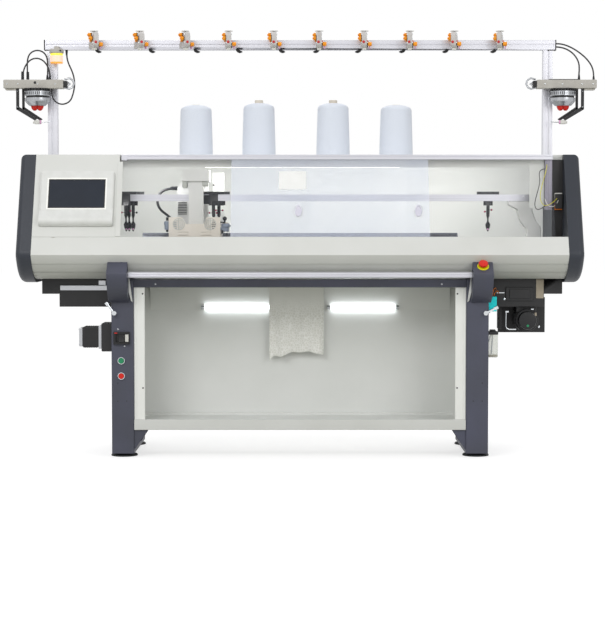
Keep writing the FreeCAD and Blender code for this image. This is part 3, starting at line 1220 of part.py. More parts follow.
def fabric_rim(height, depth, face):
    """One face of the fabric at a height, left to right; its folds follow a sine, four short sides to a fold."""
    left, width = -float(s.fabric_left), float(s.fabric_left + s.fabric_right)
    count = FOLDS * STEPS
    return [Vector(left + width * n / count,
                   float(throat) + depth * math.sin(math.pi * n / STEPS) + face * float(s.fabric_thick) / 2, height)
            for n in range(count + 1)]


def fabric_sheet(top, foot, depth):
    """The hanging part: flat at the top, folded at the foot, in flat triangles."""
    faces = []
    for face in (-1, 1):
        upper, lower = fabric_rim(top, 0, face), fabric_rim(foot, depth, face)
        for n in range(len(upper) - 1):
            faces += [[upper[n], lower[n], lower[n + 1]], [upper[n], lower[n + 1], upper[n + 1]]]
    front, back = (fabric_rim(top, 0, face) for face in (-1, 1))
    low_front, low_back = (fabric_rim(foot, depth, face) for face in (-1, 1))
    faces += [front + back[::-1], low_front + low_back[::-1]]
    faces += [[front[n], back[n], low_back[n], low_front[n]] for n in (0, -1)]
    return closed(faces)


upper = Part.makeBox(float(s.fabric_left + s.fabric_right), float(s.fabric_thick),
                     float(s.fabric_top - s.fabric_fold_top),
                     Vector(-float(s.fabric_left), float(throat - s.fabric_thick / 2), float(s.fabric_fold_top)))
hanging = fabric_sheet(float(s.fabric_fold_top), float(s.fabric_hem), float(s.fabric_fold))
HEM = ((-150, 2), (-120, 34), (-88, 28), (-40, 50), (0, 48), (40, 54), (75, 42), (112, 38))
below = float(s.fabric_hem) - 100
hem_points = [Vector(x, -200, float(s.fabric_hem) + rise) for x, rise in HEM]
hem_points = ([Vector(-200, -200, below)] + hem_points
              + [Vector(200, -200, float(s.fabric_hem) + HEM[-1][1]), Vector(200, -200, below)])
hem_points.append(hem_points[0])
hem_tool = Part.Face(Part.makePolygon(hem_points)).extrude(Vector(0, 400, 0))
fabric = doc.addObject("Part::Feature", "knitted_fabric")
fabric.Shape = upper.fuse(hanging.cut(hem_tool)).removeSplitter()
node("knitted_fabric", fabric)


# --- cables -------------------------------------------------------------------------------------------------
def cable(points, radius, sides):
    """A tube of straight runs joined by arcs that each take 0.45 of the shorter run beside them."""
    corners = [Vector(*point) for point in points]
    edges, start = [], corners[0]
    smallest = 1e9
    for before, corner, after in zip(corners, corners[1:], corners[2:]):
        into, out = (corner - before).normalize(), (after - corner).normalize()
        turn = into.getAngle(out)
        reach = 0.45 * min((corner - before).Length, (after - corner).Length)
        bend = reach / math.tan(turn / 2)
        smallest = min(smallest, bend)
        first, last = corner - into * reach, corner + out * reach
        inward = (out - into).normalize()
        middle = corner + inward * (bend / math.cos(turn / 2) - bend)
        edges.append(Part.LineSegment(start, first).toShape())
        edges.append(Part.Arc(first, middle, last).toShape())
        start = last
    edges.append(Part.LineSegment(start, corners[-1]).toShape())
    path = Part.Wire(edges)
    face = Placement(corners[0], Rotation(Vector(0, 0, 1), corners[1] - corners[0]))
    equal_area = radius * math.sqrt(2 * math.pi / (sides * math.sin(2 * math.pi / sides)))
    angles = [math.tau * (n + 0.5) / sides for n in range(sides)]
    rim = [face.multVec(Vector(equal_area * math.cos(angle), equal_area * math.sin(angle), 0)) for angle in angles]
    tube = path.makePipeShell([Part.makePolygon(rim + rim[:1])], True, False)
    length = sum(edge.Length for edge in edges)
    print("cable radius %.1f length %.1f volume ratio %.5f" % (
        smallest, length, tube.Volume / (math.pi * radius ** 2 * length)))
    return tube


feeder_top = float(s.feeder_low + s.feeder_tall)
rail_end = float(s.yarn_rail_half + s.end_cap)
seat_gap = float(s.pane_play)
LOOPS = [
    # two loops over the left feeder, one behind the other
    [(-1272, -12, feeder_top + seat_gap), (-1272, -12, feeder_top + 24), (-1262, -12, feeder_top + 62),
     (-1238, -12, feeder_top + 92), (-1207, -12, feeder_top + 101), (-1177, -12, feeder_top + 90),
     (-1156, -12, feeder_top + 62), (-1146, -12, feeder_top + 26), (-1147, -12, feeder_top + seat_gap)],
    [(-1252, 12, feeder_top + seat_gap), (-1255, 12, feeder_top + 58), (-1252, 12, feeder_top + 106),
     (-1235, 12, feeder_top + 130), (-1207, 12, feeder_top + 139), (-1179, 12, feeder_top + 130),
     (-1162, 12, feeder_top + 106), (-1159, 12, feeder_top + 58), (-1162, 12, feeder_top + seat_gap)],
    # from the underside of the yarn rail past the left feeder's inner end, and up into its clamp block
    [(-1079, 62, float(s.yarn_rail_low) - seat_gap), (-1079, 62, 1808), (-1070, 50, 1776), (-1052, 34, 1742),
     (-1040, 20, 1708), (-1036, 8, 1670), (-1042, -2, 1632), (-1055, -8, 1596.3), (-1091.8, -10, 1580.7),
     (-1128.3, -10, 1597), (-1140.7, -10, 1632.9), (-1139, -10, float(s.feeder_low) - seat_gap)],
    # from the right end of the yarn rail to the right feeder's taper and to its top
    [(rail_end + seat_gap, 72, 1868), (1202, 70, 1869), (1240, 56, 1856), (1280, 36, 1830), (1316, 14, 1796),
     (1340, -3, 1758), (1347, -10, 1720), (1346, -10, feeder_top - 6.8)],
    [(rail_end + seat_gap, 58, 1852), (1200, 56, 1852), (1236, 42, 1838), (1264, 24, 1812), (1280, 6, 1778),
     (1281, -6, 1744), (1278, -10, feeder_top + 22), (1279, -10, feeder_top + seat_gap)],
]
HOSE = [
    (-566.3, 16, 1200), (-620, 16, 1200), (-660, 16, 1166), (-656, 16, 1108), (-604, 16, 1070), (-580, 16, 1040),
    (-580, 16, 1000.3),
]
feature = doc.addObject("Part::Feature", "feeder_cables")
feature.Shape = Part.makeCompound([cable(points, float(s.cable_radius), int(s.cable_sides)) for points in LOOPS])
node("feeder_cables", feature)
hose = doc.addObject("Part::Feature", "carriage_hose")
hose.Shape = cable(HOSE, float(s.hose_radius), int(s.hose_sides))
node("carriage_hose", hose)

# --- wiring in the open end cavity ------------------------------------------------------------------------
connector = block("connector", (s.rail_right + 10, inner_half - 4), (deck_front - 60, deck_front - 20),
                  (s.sill_height + 120, s.sill_height + 196))
back_plate = block("cavity_back", (s.rail_right, inner_half), (deck_front - 20, deck_front - 17),
                   (s.sill_height, rail_low))
node("end_wiring", grouped("end_wiring", connector, back_plate))

# --- check and write -----------------------------------------------------------------------------------------
doc.recompute()
bad = [thing.Name for thing in doc.Objects if {"Invalid", "Error"} & set(thing.State)]
bad += [thing.Label for thing in nodes if thing.Shape.isNull() or not thing.Shape.isValid() or not thing.Shape.Solids]
if bad:
    raise RuntimeError("not built: " + ", ".join(bad))
os.makedirs("parts", exist_ok=True)
for thing in nodes:
    thing.Shape.exportStep("parts/%s.step" % thing.Label)
whole = Part.makeCompound([thing.Shape for thing in nodes]).BoundBox
print("%d nodes" % len(nodes), "X %.1f %.1f  Y %.1f %.1f  Z %.1f %.1f" % (
    whole.XMin, whole.XMax, whole.YMin, whole.YMax, whole.ZMin, whole.ZMax))
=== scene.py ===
import json
import math

import bmesh
import bpy
from mathutils import Matrix, Vector


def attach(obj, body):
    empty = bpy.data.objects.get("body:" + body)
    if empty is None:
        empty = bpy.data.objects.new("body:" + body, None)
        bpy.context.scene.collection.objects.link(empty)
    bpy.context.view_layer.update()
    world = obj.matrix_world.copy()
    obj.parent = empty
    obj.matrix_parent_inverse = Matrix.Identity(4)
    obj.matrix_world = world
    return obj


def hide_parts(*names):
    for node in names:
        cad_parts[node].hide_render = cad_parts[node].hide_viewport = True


# A flat knitting machine. Shapes are made in millimetres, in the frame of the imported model,
# and turned to metres when a piece is finished.

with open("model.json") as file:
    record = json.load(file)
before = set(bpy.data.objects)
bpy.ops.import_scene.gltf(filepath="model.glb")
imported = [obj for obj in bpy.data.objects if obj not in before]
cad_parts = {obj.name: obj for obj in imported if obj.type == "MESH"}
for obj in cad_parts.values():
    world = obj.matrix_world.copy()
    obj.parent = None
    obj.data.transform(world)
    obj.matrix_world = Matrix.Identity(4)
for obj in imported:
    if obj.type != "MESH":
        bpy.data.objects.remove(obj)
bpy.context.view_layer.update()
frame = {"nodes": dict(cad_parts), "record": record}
MM = 0.001
UP, FRONT, RIGHT, LEFT = (0, 0, 1), (0, -1, 0), (1, 0, 0), (-1, 0, 0)
BODY_OF = {node: body for body, nodes in frame["record"]["behaviour"]["bodies"].items() for node in nodes}


# --- colours and nodes ---

def linear(code):
    """An sRGB hex colour as linear values."""
    channels = [int(code[i:i + 2], 16) / 255 for i in (0, 2, 4)]
    return tuple(c / 12.92 if c <= 0.04045 else ((c + 0.055) / 1.055) ** 2.4 for c in channels) + (1.0,)


def add(tree, kind, settings=None, links=None):
    """Adds a shader node; settings holds its options and fixed inputs, links the sockets that feed it."""
    node = tree.nodes.new("ShaderNode" + kind)
    for name, value in (settings or {}).items():
        if isinstance(name, int) or name in node.inputs:
            node.inputs[name].default_value = value
        else:
            setattr(node, name, value)
    for name, socket in (links or {}).items():
        tree.links.new(socket, node.inputs[name])
    return node


def started(name, **settings):
    """A new material with its shader's fixed values set."""
    material = bpy.data.materials.new(name)
    material.use_nodes = True
    tree = material.node_tree
    shader = tree.nodes["Principled BSDF"]
    for key, value in settings.items():
        shader.inputs[key.replace("_", " ")].default_value = value
    return material, tree, shader


def toned(tree, shader, share, colour, second):
    """Feeds the shader's colour with two tones, mixed by a pattern."""
    tone = add(tree, "Mix", {"data_type": "RGBA", 6: linear(colour), 7: linear(second)}, {0: share})
    tree.links.new(tone.outputs[2], shader.inputs["Base Color"])


def mottled(tree, shader, where, colour, second, size_mm, low, high):
    """Feeds the shader's colour with two tones that drift into each other over size_mm."""
    drift = add(tree, "TexNoise", {"Scale": 1000 / size_mm, "Detail": 4.0}, {"Vector": where})
    share = add(tree, "MapRange", {"From Min": low, "From Max": high}, {"Value": drift.outputs["Fac"]})
    toned(tree, shader, share.outputs["Result"], colour, second)


def roughened(tree, shader, pattern, low, high):
    """Feeds the shader's roughness from a pattern."""
    limits = {"From Min": 0.3, "From Max": 0.7, "To Min": low, "To Max": high}
    rough = add(tree, "MapRange", limits, {"Value": pattern})
    tree.links.new(rough.outputs["Result"], shader.inputs["Roughness"])


def bumped(tree, shader, height, depth_mm):
    """Feeds the shader's normal from a pattern of heights."""
    bump = add(tree, "Bump", {"Distance": depth_mm * MM, "Strength": 1.0}, {"Height": height})
    tree.links.new(bump.outputs["Normal"], shader.inputs["Normal"])


def powder_coat(name, colour, second, roughness, grain_mm=3.0, depth_mm=0.05, soil_mm=260):
    """Baked powder coat: an even colour over a fine orange peel, a little duller where hands wipe it."""
    material, tree, shader = started(name, IOR=1.5)
    where = add(tree, "TexCoord").outputs["Object"]
    mottled(tree, shader, where, colour, second, soil_mm, 0.35, 0.75)
    peel = add(tree, "TexNoise", {"Scale": 1000 / grain_mm, "Detail": 2.0}, {"Vector": where}).outputs["Fac"]
    roughened(tree, shader, peel, roughness - 0.06, roughness + 0.08)
    bumped(tree, shader, peel, depth_mm)
    return material


def moulded(name, colour, second, roughness, grain_mm=1.5, depth_mm=0.02, **settings):
    """Injection-moulded plastic: a spark-eroded grain and a faint change of tone."""
    material, tree, shader = started(name, IOR=1.46, **settings)
    where = add(tree, "TexCoord").outputs["Object"]
    mottled(tree, shader, where, colour, second, 40, 0.3, 0.8)
    grain = add(tree, "TexVoronoi", {"Scale": 1000 / grain_mm}, {"Vector": where}).outputs["Distance"]
    roughened(tree, shader, grain, roughness - 0.05, roughness + 0.1)
    bumped(tree, shader, grain, depth_mm)
    return material


def drawn_metal(name, colour, second, roughness, along, line_mm=3.0, depth_mm=0.003):
    """Extruded or ground metal: fine lines that run the way it was drawn; along is 0, 1 or 2 for X, Y, Z."""
    material, tree, shader = started(name, Metallic=1.0)
    stretch = [1000 / line_mm] * 3
    stretch[along] = 1000 / (line_mm * 120)
    where = add(tree, "TexCoord").outputs["Object"]
    lined = add(tree, "Mapping", {"Scale": stretch}, {"Vector": where}).outputs["Vector"]
    lines = add(tree, "TexNoise", {"Scale": 1.0, "Detail": 3.0}, {"Vector": lined}).outputs["Fac"]
    share = add(tree, "MapRange", {"From Min": 0.35, "From Max": 0.65}, {"Value": lines})
    toned(tree, shader, share.outputs["Result"], colour, second)
    roughened(tree, shader, lines, roughness - 0.07, roughness + 0.09)
    bumped(tree, shader, lines, depth_mm)
    return material


def lit(name, colour, strength):
    """A frosted tube or lens with a light behind it."""
    material, tree, shader = started(name, Roughness=0.3, IOR=1.49, Emission_Strength=strength,
                                     Emission_Color=linear(colour))
    where = add(tree, "TexCoord").outputs["Object"]
    mottled(tree, shader, where, colour, colour, 20, 0.3, 0.7)
    frost = add(tree, "TexNoise", {"Scale": 1000 / 1.0}, {"Vector": where})
    bumped(tree, shader, frost.outputs["Fac"], 0.02)
    return material


def see_through(name, colour, second, alpha, roughness, size_mm=300):
    """Clear or tinted plastic that lets the light pass; dust and smears only change its gloss."""
    material, tree, shader = started(name, IOR=1.49, Alpha=alpha)
    where = add(tree, "TexCoord").outputs["Object"]
    mottled(tree, shader, where, colour, second, size_mm, 0.4, 0.7)
    dust = add(tree, "TexNoise", {"Scale": 1000 / 30, "Detail": 6.0}, {"Vector": where})
    roughened(tree, shader, dust.outputs["Fac"], roughness, roughness + 0.1)
    material.surface_render_method = "BLENDED"
    return material


# --- finishes ---
# pale grey structure paint of the long covers; its leather grain shows as a light speckle
cover_paint = powder_coat("pale_structure_paint", "d6d7d4", "cfd0cc", 0.5, grain_mm=6.0, depth_mm=0.22)
# off-white ABS of the screen housing, smoother than the covers
console_abs = moulded("off_white_abs", "dcdddb", "d2d3d0", 0.38, grain_mm=2.5)
# blue-grey painted end covers with a satin sheen
end_paint = powder_coat("blue_grey_paint", "1f242e", "262b35", 0.5, grain_mm=2.5, depth_mm=0.04)
# slate structure paint of the welded stand
leg_paint = powder_coat("slate_structure_paint", "41434f", "4a4c5e", 0.52, depth_mm=0.07)
# warm grey primer-like paint of the casting and the hidden sheets
bed_paint = powder_coat("warm_grey_enamel", "b9bbb5", "aeb0aa", 0.5)
# white sheet inside the window and the fabric bay
liner_paint = powder_coat("white_liner_paint", "dcddda", "d2d4d0", 0.5, grain_mm=3.5, depth_mm=0.06, soil_mm=400)
# beige enamel of the carriage's front plate
carriage_paint = powder_coat("beige_enamel", "ded8ce", "d4cdc1", 0.4, grain_mm=2.0, depth_mm=0.03)
# white paint brighter than the liner: a painted highlight on the folded trims beside the bay, which are the liner's lit
# front edges, and on the brackets' lit inner side faces
highlight_white_paint = powder_coat("painted_highlight_white", "f0f1ee", "e8e9e5", 0.36, grain_mm=2.0, depth_mm=0.03)
# white enamel of the carriage bridge and the goosenecks
bridge_paint = powder_coat("white_enamel", "dcdcda", "cfd1cd", 0.4, grain_mm=2.0, depth_mm=0.03)
# black oxide on machined steel: near black, a little brown where the oil has dried
black_oxide = powder_coat("black_oxide", "0c0c0e", "161516", 0.5, grain_mm=1.5, depth_mm=0.02, soil_mm=50)
# silver-grey enamel of the cast yarn controllers
controller_paint = powder_coat("silver_grey_enamel", "c9c6c4", "bab7b5", 0.36, grain_mm=1.2, depth_mm=0.02, soil_mm=30)
# moulded plastics of knobs, buttons, plugs, cable sheaths and housings
black_nylon = moulded("black_nylon", "0b0b0d", "141417", 0.48)
grey_abs = moulded("grey_abs", "bab7b1", "aeaaa3", 0.42)
grey_blue_abs = moulded("grey_blue_abs", "8e98a8", "7d8797", 0.42)
pull_abs = moulded("lilac_white_abs", "dcdae6", "d0cedc", 0.4)
pale_abs = moulded("pale_abs", "d9d8d4", "cccbc6", 0.4)
bright_abs = moulded("bright_white_abs", "fbfbf7", "f6f6f1", 0.4)
cyan_abs = moulded("cyan_abs", "14f0f4", "10e0e6", 0.4)
orange_acetal = moulded("orange_acetal", "ffa514", "f59308", 0.35)
red_acetal = moulded("red_acetal", "dc1c05", "c01400", 0.3)
crimson_acetal = moulded("crimson_acetal", "9b1048", "820c3c", 0.35)
green_acetal = moulded("green_acetal", "1f8f5f", "187a50", 0.3)
yellow_pvc = moulded("yellow_pvc", "e8e000", "d6cc00", 0.4)
beige_pvc = moulded("beige_pvc", "b0a595", "a39885", 0.45)
orange_pvc = moulded("orange_pvc", "e07810", "cc6a0c", 0.4)
red_pvc = moulded("red_pvc", "cc2018", "b51a14", 0.4)
white_pvc = moulded("white_pvc", "e6e5e0", "d8d7d2", 0.42)
blue_pvc = moulded("blue_pvc", "35508f", "2c4580", 0.4)
# glazed ceramic of the yarn eyelets
pink_ceramic = moulded("pink_ceramic", "e0a8d0", "d49ac4", 0.15, Coat_Weight=0.5)
# drying oil at the bottom of the bottle
oil = moulded("brown_oil", "6d4a12", "5d3d0c", 0.15)
# paper sheet laminated in clear film, and the kraft tubes inside the cones
paper = moulded("laminated_paper", "f4f4f2", "ecece9", 0.3, grain_mm=3.0)
paper_tube = moulded("kraft_paper", "d9d2c6", "cbc2b3", 0.8, grain_mm=4.0, depth_mm=0.08)
# rubber of the levelling feet and of the cables' strain reliefs
foot_rubber = moulded("black_rubber", "232528", "2c2e31", 0.7, grain_mm=2.5, depth_mm=0.05)
# anodised aluminium extrusions: the die leaves fine lines along the profile
rail_aluminium = drawn_metal("anodised_aluminium_x", "cfcfd5", "c4c4ca", 0.36, 0)
post_aluminium = drawn_metal("anodised_aluminium_z", "cfcfd4", "c2c2c8", 0.36, 2)
dull_aluminium = drawn_metal("dull_aluminium", "8f8c95", "7d7a83", 0.45, 2)
# ground steel of bars and rollers
ground_steel = drawn_metal("ground_steel", "bdbec1", "aeb0b3", 0.28, 0, line_mm=0.8)
# stainless drum of the storage feeders, turned on a lathe
turned_steel = drawn_metal("turned_steel", "bfc1c4", "94979b", 0.3, 2, line_mm=1.5, depth_mm=0.015)
# bright chrome of levers, bezels and small screws
chrome_plate = drawn_metal("chrome_plate", "dde0e3", "c6cacd", 0.1, 0, line_mm=2.0, depth_mm=0.004)
# fluorescent tubes of the bay and of the window; both are on in the photograph
bay_tube = lit("lit_frosted_tube", "f6fbff", 9.0)
window_tube = lit("lit_warm_tube", "fffdf0", 6.0)
# lenses of the signal lamp and of the yarn controllers, lit from inside
yellow_lens = lit("lit_yellow_lens", "f5e24a", 0.55)
salmon_lens = lit("lit_salmon_lens", "f3c9b4", 0.5)
amber_lens = lit("lit_amber_lens", "f0a030", 0.5)
red_lens = lit("lit_red_lens", "a80c14", 0.35)
# cast acrylic of the doors: clear and a little blue, so that two sheets behind each other look bluer
acrylic = see_through("cast_acrylic", "e6ecfb", "dfe6f6", 0.015, 0.04)
# the fixed middle pane is a bluer, hazier sheet
blue_acrylic = see_through("blue_cast_acrylic", "eaf0ff", "e0e8fc", 0.24, 0.06)
# blown polyethylene of the oil bottle, milky and seen through
bottle_plastic = see_through("blown_polyethylene", "e8ebe0", "d9ddd0", 0.45, 0.3, 30)


def screen_surface():
    """Switched-off touch screen: dark slate glass with a smooth coat and a trace of finger marks."""
    material, tree, shader = started("touch_glass", IOR=1.4, Specular_IOR_Level=0.3)
    where = add(tree, "TexCoord").outputs["Object"]
    mottled(tree, shader, where, "252a34", "282e39", 120, 0.35, 0.7)
    smear = add(tree, "TexNoise", {"Scale": 1000 / 25, "Detail": 5.0, "Distortion": 1.5}, {"Vector": where})
    roughened(tree, shader, smear.outputs["Fac"], 0.2, 0.26)
    return material


def needle_steel():
    """Needle bed: hardened steel milled with a slot every 2.1 mm, drawn every 8.5 mm so that it shows."""
    material, tree, shader = started("slotted_steel", Metallic=1.0, Roughness=0.34)
    where = add(tree, "TexCoord").outputs["Object"]
    slots = add(tree, "TexWave", {"wave_type": "BANDS", "bands_direction": "X", "wave_profile": "SIN",
                                  "Scale": 1000 / (8.5 * 20 / math.pi) * math.tau / 2},
                {"Vector": where}).outputs["Fac"]
    toned(tree, shader, slots, "3a3c41", "54565b")
    bumped(tree, shader, slots, 0.2)
    return material


def roller_rubber():
    """Take-down roller: black rubber sleeve with a cross-hatched grip of about 3 mm, drawn coarser."""
    material, tree, shader = started("knurled_rubber", Roughness=0.62, IOR=1.5)
    where = add(tree, "TexCoord").outputs["Object"]
    mottled(tree, shader, where, "232427", "303135", 60, 0.3, 0.7)
    rings = add(tree, "TexWave", {"bands_direction": "DIAGONAL", "Scale": 1000 / 38}, {"Vector": where})
    bumped(tree, shader, rings.outputs["Fac"], 0.3)
    return material


def wound_yarn():
    """Yarn cross-wound on a cone: it climbs at about 12 degrees; turns of 1 mm are drawn 4 mm apart."""
    material, tree, shader = started("wound_yarn", Roughness=0.85, IOR=1.5, Sheen_Weight=0.35, Sheen_Roughness=0.4)
    wrap = add(tree, "UVMap", {"uv_map": "wrap"}).outputs["UV"]
    layers = []
    for angle in (12, -12):
        turn = add(tree, "Mapping", {"Rotation": (0, 0, math.radians(angle))}, {"Vector": wrap})
        layers.append(add(tree, "TexWave", {
            "bands_direction": "Y", "Scale": 8.0, "Distortion": 1.2, "Detail": 2.0, "Detail Scale": 1.5,
        }, {"Vector": turn.outputs["Vector"]}).outputs["Fac"])
    patches = add(tree, "TexNoise", {"Scale": 9.0, "Detail": 1.0}, {"Vector": wrap})
    pick = add(tree, "MapRange", {"From Min": 0.45, "From Max": 0.55}, {"Value": patches.outputs["Fac"]})
    turns = add(tree, "Mix", {"data_type": "FLOAT"},
                {0: pick.outputs["Result"], 2: layers[0], 3: layers[1]}).outputs[0]
    toned(tree, shader, turns, "d9e0ee", "eef3fc")
    bumped(tree, shader, turns, 0.8)
    return material


def knit():
    """White plain knit with a lace panel: stitches of 2.1 mm drawn at 6 mm, with rows of small eyelets."""
    material, tree, shader = started("white_knit", Roughness=0.9, IOR=1.5, Sheen_Weight=0.3, Sheen_Roughness=0.5)
    cloth = add(tree, "UVMap", {"uv_map": "cloth"}).outputs["UV"]

    wales = add(tree, "TexWave", {"bands_direction": "X", "Scale": 8.0, "Distortion": 0.6, "Detail": 1.0},
                {"Vector": cloth})
    courses = add(tree, "TexWave", {"bands_direction": "Y", "Scale": 10.0, "Distortion": 1.0}, {"Vector": cloth})
    loops = add(tree, "Math", {"operation": "MULTIPLY"}, {0: wales.outputs["Fac"], 1: courses.outputs["Fac"]})
    lace = add(tree, "TexVoronoi", {"Scale": 9.0, "Randomness": 0.75, "feature": "DISTANCE_TO_EDGE"},
               {"Vector": cloth})
    strand = add(tree, "MapRange", {"From Min": 0.02, "From Max": 0.12}, {"Value": lace.outputs["Distance"]})
    height = add(tree, "SeparateXYZ", {}, {"Vector": cloth})
    low = add(tree, "MapRange", {"From Min": 3.0, "From Max": 2.2}, {"Value": height.outputs["Y"]})
    veil = add(tree, "Math", {"operation": "MULTIPLY"},
               {0: strand.outputs["Result"], 1: low.outputs["Result"]}).outputs["Value"]
    toned(tree, shader, veil, "f2f2ee", "dfdfd8")
    relief = add(tree, "Math", {"operation": "SUBTRACT"}, {0: loops.outputs["Value"], 1: veil})
    bumped(tree, shader, relief.outputs["Value"], 0.35)
    return material


def cable_sheath():
    """Black PVC sheath, satin, with the slight ripple of the cores under it."""
    material, tree, shader = started("black_pvc_sheath", IOR=1.5)
    where = add(tree, "TexCoord").outputs["Object"]
    mottled(tree, shader, where, "161618", "222225", 30, 0.3, 0.7)
    ripple = add(tree, "TexNoise", {"Scale": 1000 / 6, "Detail": 2.0}, {"Vector": where}).outputs["Fac"]
    roughened(tree, shader, ripple, 0.36, 0.5)
    bumped(tree, shader, ripple, 0.15)
    return material


touch_glass, bed_steel, grip_rubber = screen_surface(), needle_steel(), roller_rubber()
cone_yarn, white_knit, black_sheath = wound_yarn(), knit(), cable_sheath()


# --- shapes ---

def fresh(bm, before):
    """The vertices made since before."""
    return [vert for vert in bm.verts if vert not in before]


def rounded(bm, edges, round_mm, segments=2):
    bmesh.ops.bevel(bm, geom=list(edges), offset=round_mm, affect="EDGES", segments=segments, profile=0.5,
                    material=-1, clamp_overlap=False)


def edges_of(verts):
    return {edge for vert in verts for edge in vert.link_edges}


def aimed(bm, verts, axis, foot):
    """Turns upright vertices to point along axis and moves them to foot."""
    turn = Vector(UP).rotation_difference(Vector(axis).normalized()).to_matrix()
    bmesh.ops.rotate(bm, cent=(0, 0, 0), matrix=turn, verts=verts)
    bmesh.ops.translate(bm, vec=foot, verts=verts)


def block(bm, x, y, z, round_mm=0.0, segments=2):
    """A block between low and high corners, its edges rounded."""
    verts = bmesh.ops.create_cube(bm, size=1.0)["verts"]
    bmesh.ops.scale(bm, vec=(x[1] - x[0], y[1] - y[0], z[1] - z[0]), verts=verts)
    bmesh.ops.translate(bm, vec=((x[0] + x[1]) / 2, (y[0] + y[1]) / 2, (z[0] + z[1]) / 2), verts=verts)
    if round_mm:
        rounded(bm, edges_of(verts), round_mm, segments)


def rod(bm, start, end, radius, round_mm=0.0, segments=32):
    """A round bar from start to end."""
    start, end = Vector(start), Vector(end)
    verts = bmesh.ops.create_cone(bm, cap_ends=True, cap_tris=False, segments=segments, radius1=radius,
                                  radius2=radius, depth=(end - start).length)["verts"]
    aimed(bm, verts, end - start, (start + end) / 2)
    if round_mm:
        rounded(bm, [edge for edge in edges_of(verts) if max(len(face.verts) for face in edge.link_faces) > 4],
                round_mm)


def ball(bm, place, radius, around, high):
    bmesh.ops.create_uvsphere(bm, u_segments=around, v_segments=high, radius=radius, matrix=Matrix.Translation(place))


def turned(bm, profile, foot, axis=UP, steps=48):
    """A profile of (radius, height) points spun about an axis that starts at foot."""
    before = set(bm.verts)
    verts = [bm.verts.new((radius, 0, height)) for radius, height in profile]
    edges = [bm.edges.new(pair) for pair in zip(verts, verts[1:])]
    bmesh.ops.spin(bm, geom=verts + edges, cent=(0, 0, 0), axis=UP, angle=math.tau, steps=steps, use_merge=True)
    bmesh.ops.remove_doubles(bm, verts=fresh(bm, before), dist=1e-4)
    aimed(bm, fresh(bm, before), axis, foot)


def plate(bm, outline, run, round_mm=0.0):
    """A flat outline of points, extruded by the vector run."""
    face = bm.faces.new([bm.verts.new(point) for point in outline])
    made = bmesh.ops.extrude_face_region(bm, geom=[face])["geom"]
    moved = [item for item in made if isinstance(item, bmesh.types.BMVert)]
    bmesh.ops.translate(bm, vec=run, verts=moved)
    if round_mm:
        rounded(bm, edges_of(moved + list(face.verts)), round_mm)


def bar(bm, points, radius):
    """A round bar bent at its inner points."""
    for start, end in zip(points, points[1:]):
        rod(bm, start, end, radius, segments=16)
    for point in points[1:-1]:
        ball(bm, point, radius, 16, 8)


def screw(bm, place, radius=4.0, height=2.4, axis=FRONT):
    """A button-head screw with its socket."""
    turned(bm, [(0, height - 1.2), (radius * 0.42, height - 1.2), (radius * 0.48, height), (radius * 0.8, height * 0.8),
                (radius, height * 0.3), (radius, 0)], place, axis, 18)


def border(bm, x, z, y, width):
    """A flat rectangular frame between low and high corners, width wide, from y[0] to y[1]."""
    verts = bmesh.ops.create_grid(bm, x_segments=1, y_segments=1, size=0.5)["verts"]
    inner = verts[0].link_faces[0]
    bmesh.ops.scale(bm, vec=(x[1] - x[0], z[1] - z[0], 1), verts=verts)
    bmesh.ops.rotate(bm, cent=(0, 0, 0), matrix=Matrix.Rotation(math.radians(90), 3, "X"), verts=verts)
    bmesh.ops.translate(bm, vec=((x[0] + x[1]) / 2, y[0], (z[0] + z[1]) / 2), verts=verts)
    ring = bmesh.ops.inset_region(bm, faces=[inner], thickness=width, use_even_offset=True,
                                  use_boundary=True)["faces"]
    bmesh.ops.delete(bm, geom=[inner], context="FACES_ONLY")
    made = bmesh.ops.extrude_face_region(bm, geom=ring)["geom"]
    moved = [item for item in made if isinstance(item, bmesh.types.BMVert)]
    bmesh.ops.translate(bm, vec=(0, y[1] - y[0], 0), verts=moved)


def build(bm, rows):
    """Makes each row's shape; a row is a shape function and its values."""
    for shape, *values in rows:
        shape(bm, *values)
    return bm


def placed(bm, rows, *places):
    """Rows of shapes, made once for each place, which is a matrix."""
    for place in places:
        before = set(bm.verts)
        build(bm, rows)
        bmesh.ops.transform(bm, matrix=place, verts=fresh(bm, before))


def standing(foot, degrees=0.0, axis="Z"):
    """The matrix that turns a shape about an axis and sets its origin on foot."""
    return Matrix.Translation(foot) @ Matrix.Rotation(math.radians(degrees), 4, axis)


def both_sides(bm, rows):
    """Rows of shapes on the right, and their mirror images on the left."""
    build(bm, rows)
    bmesh.ops.mirror(bm, geom=list(bm.verts) + list(bm.edges) + list(bm.faces), matrix=Matrix.Identity(4),
                     merge_dist=-1, axis="X")


def finished(name, bm, finish, body="root", replaces=(), smooth=35, slot=None):
    """Writes a bmesh in millimetres to an object in metres, with its finish and the body it rides on."""
    bmesh.ops.recalc_face_normals(bm, faces=bm.faces)
    bmesh.ops.scale(bm, vec=(MM, MM, MM), verts=bm.verts)
    mesh = bpy.data.meshes.new(name)
    bm.to_mesh(mesh)
    bm.free()
    mesh.shade_smooth()
    mesh.set_sharp_from_angle(angle=math.radians(smooth))
    mesh.materials.append(finish)
    made = bpy.data.objects.new(name, mesh)
    bpy.context.scene.collection.objects.link(made)
    made.modifiers.new("even_shading", "WEIGHTED_NORMAL").keep_sharp = True
    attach(made, body)
    if replaces:
        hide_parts(*replaces)
    return made


def piece(name, finish, rows, body="root", replaces=(), **options):
    """A finished piece from rows of shapes."""
    return finished(name, build(bmesh.new(), rows), finish, body, replaces, **options)


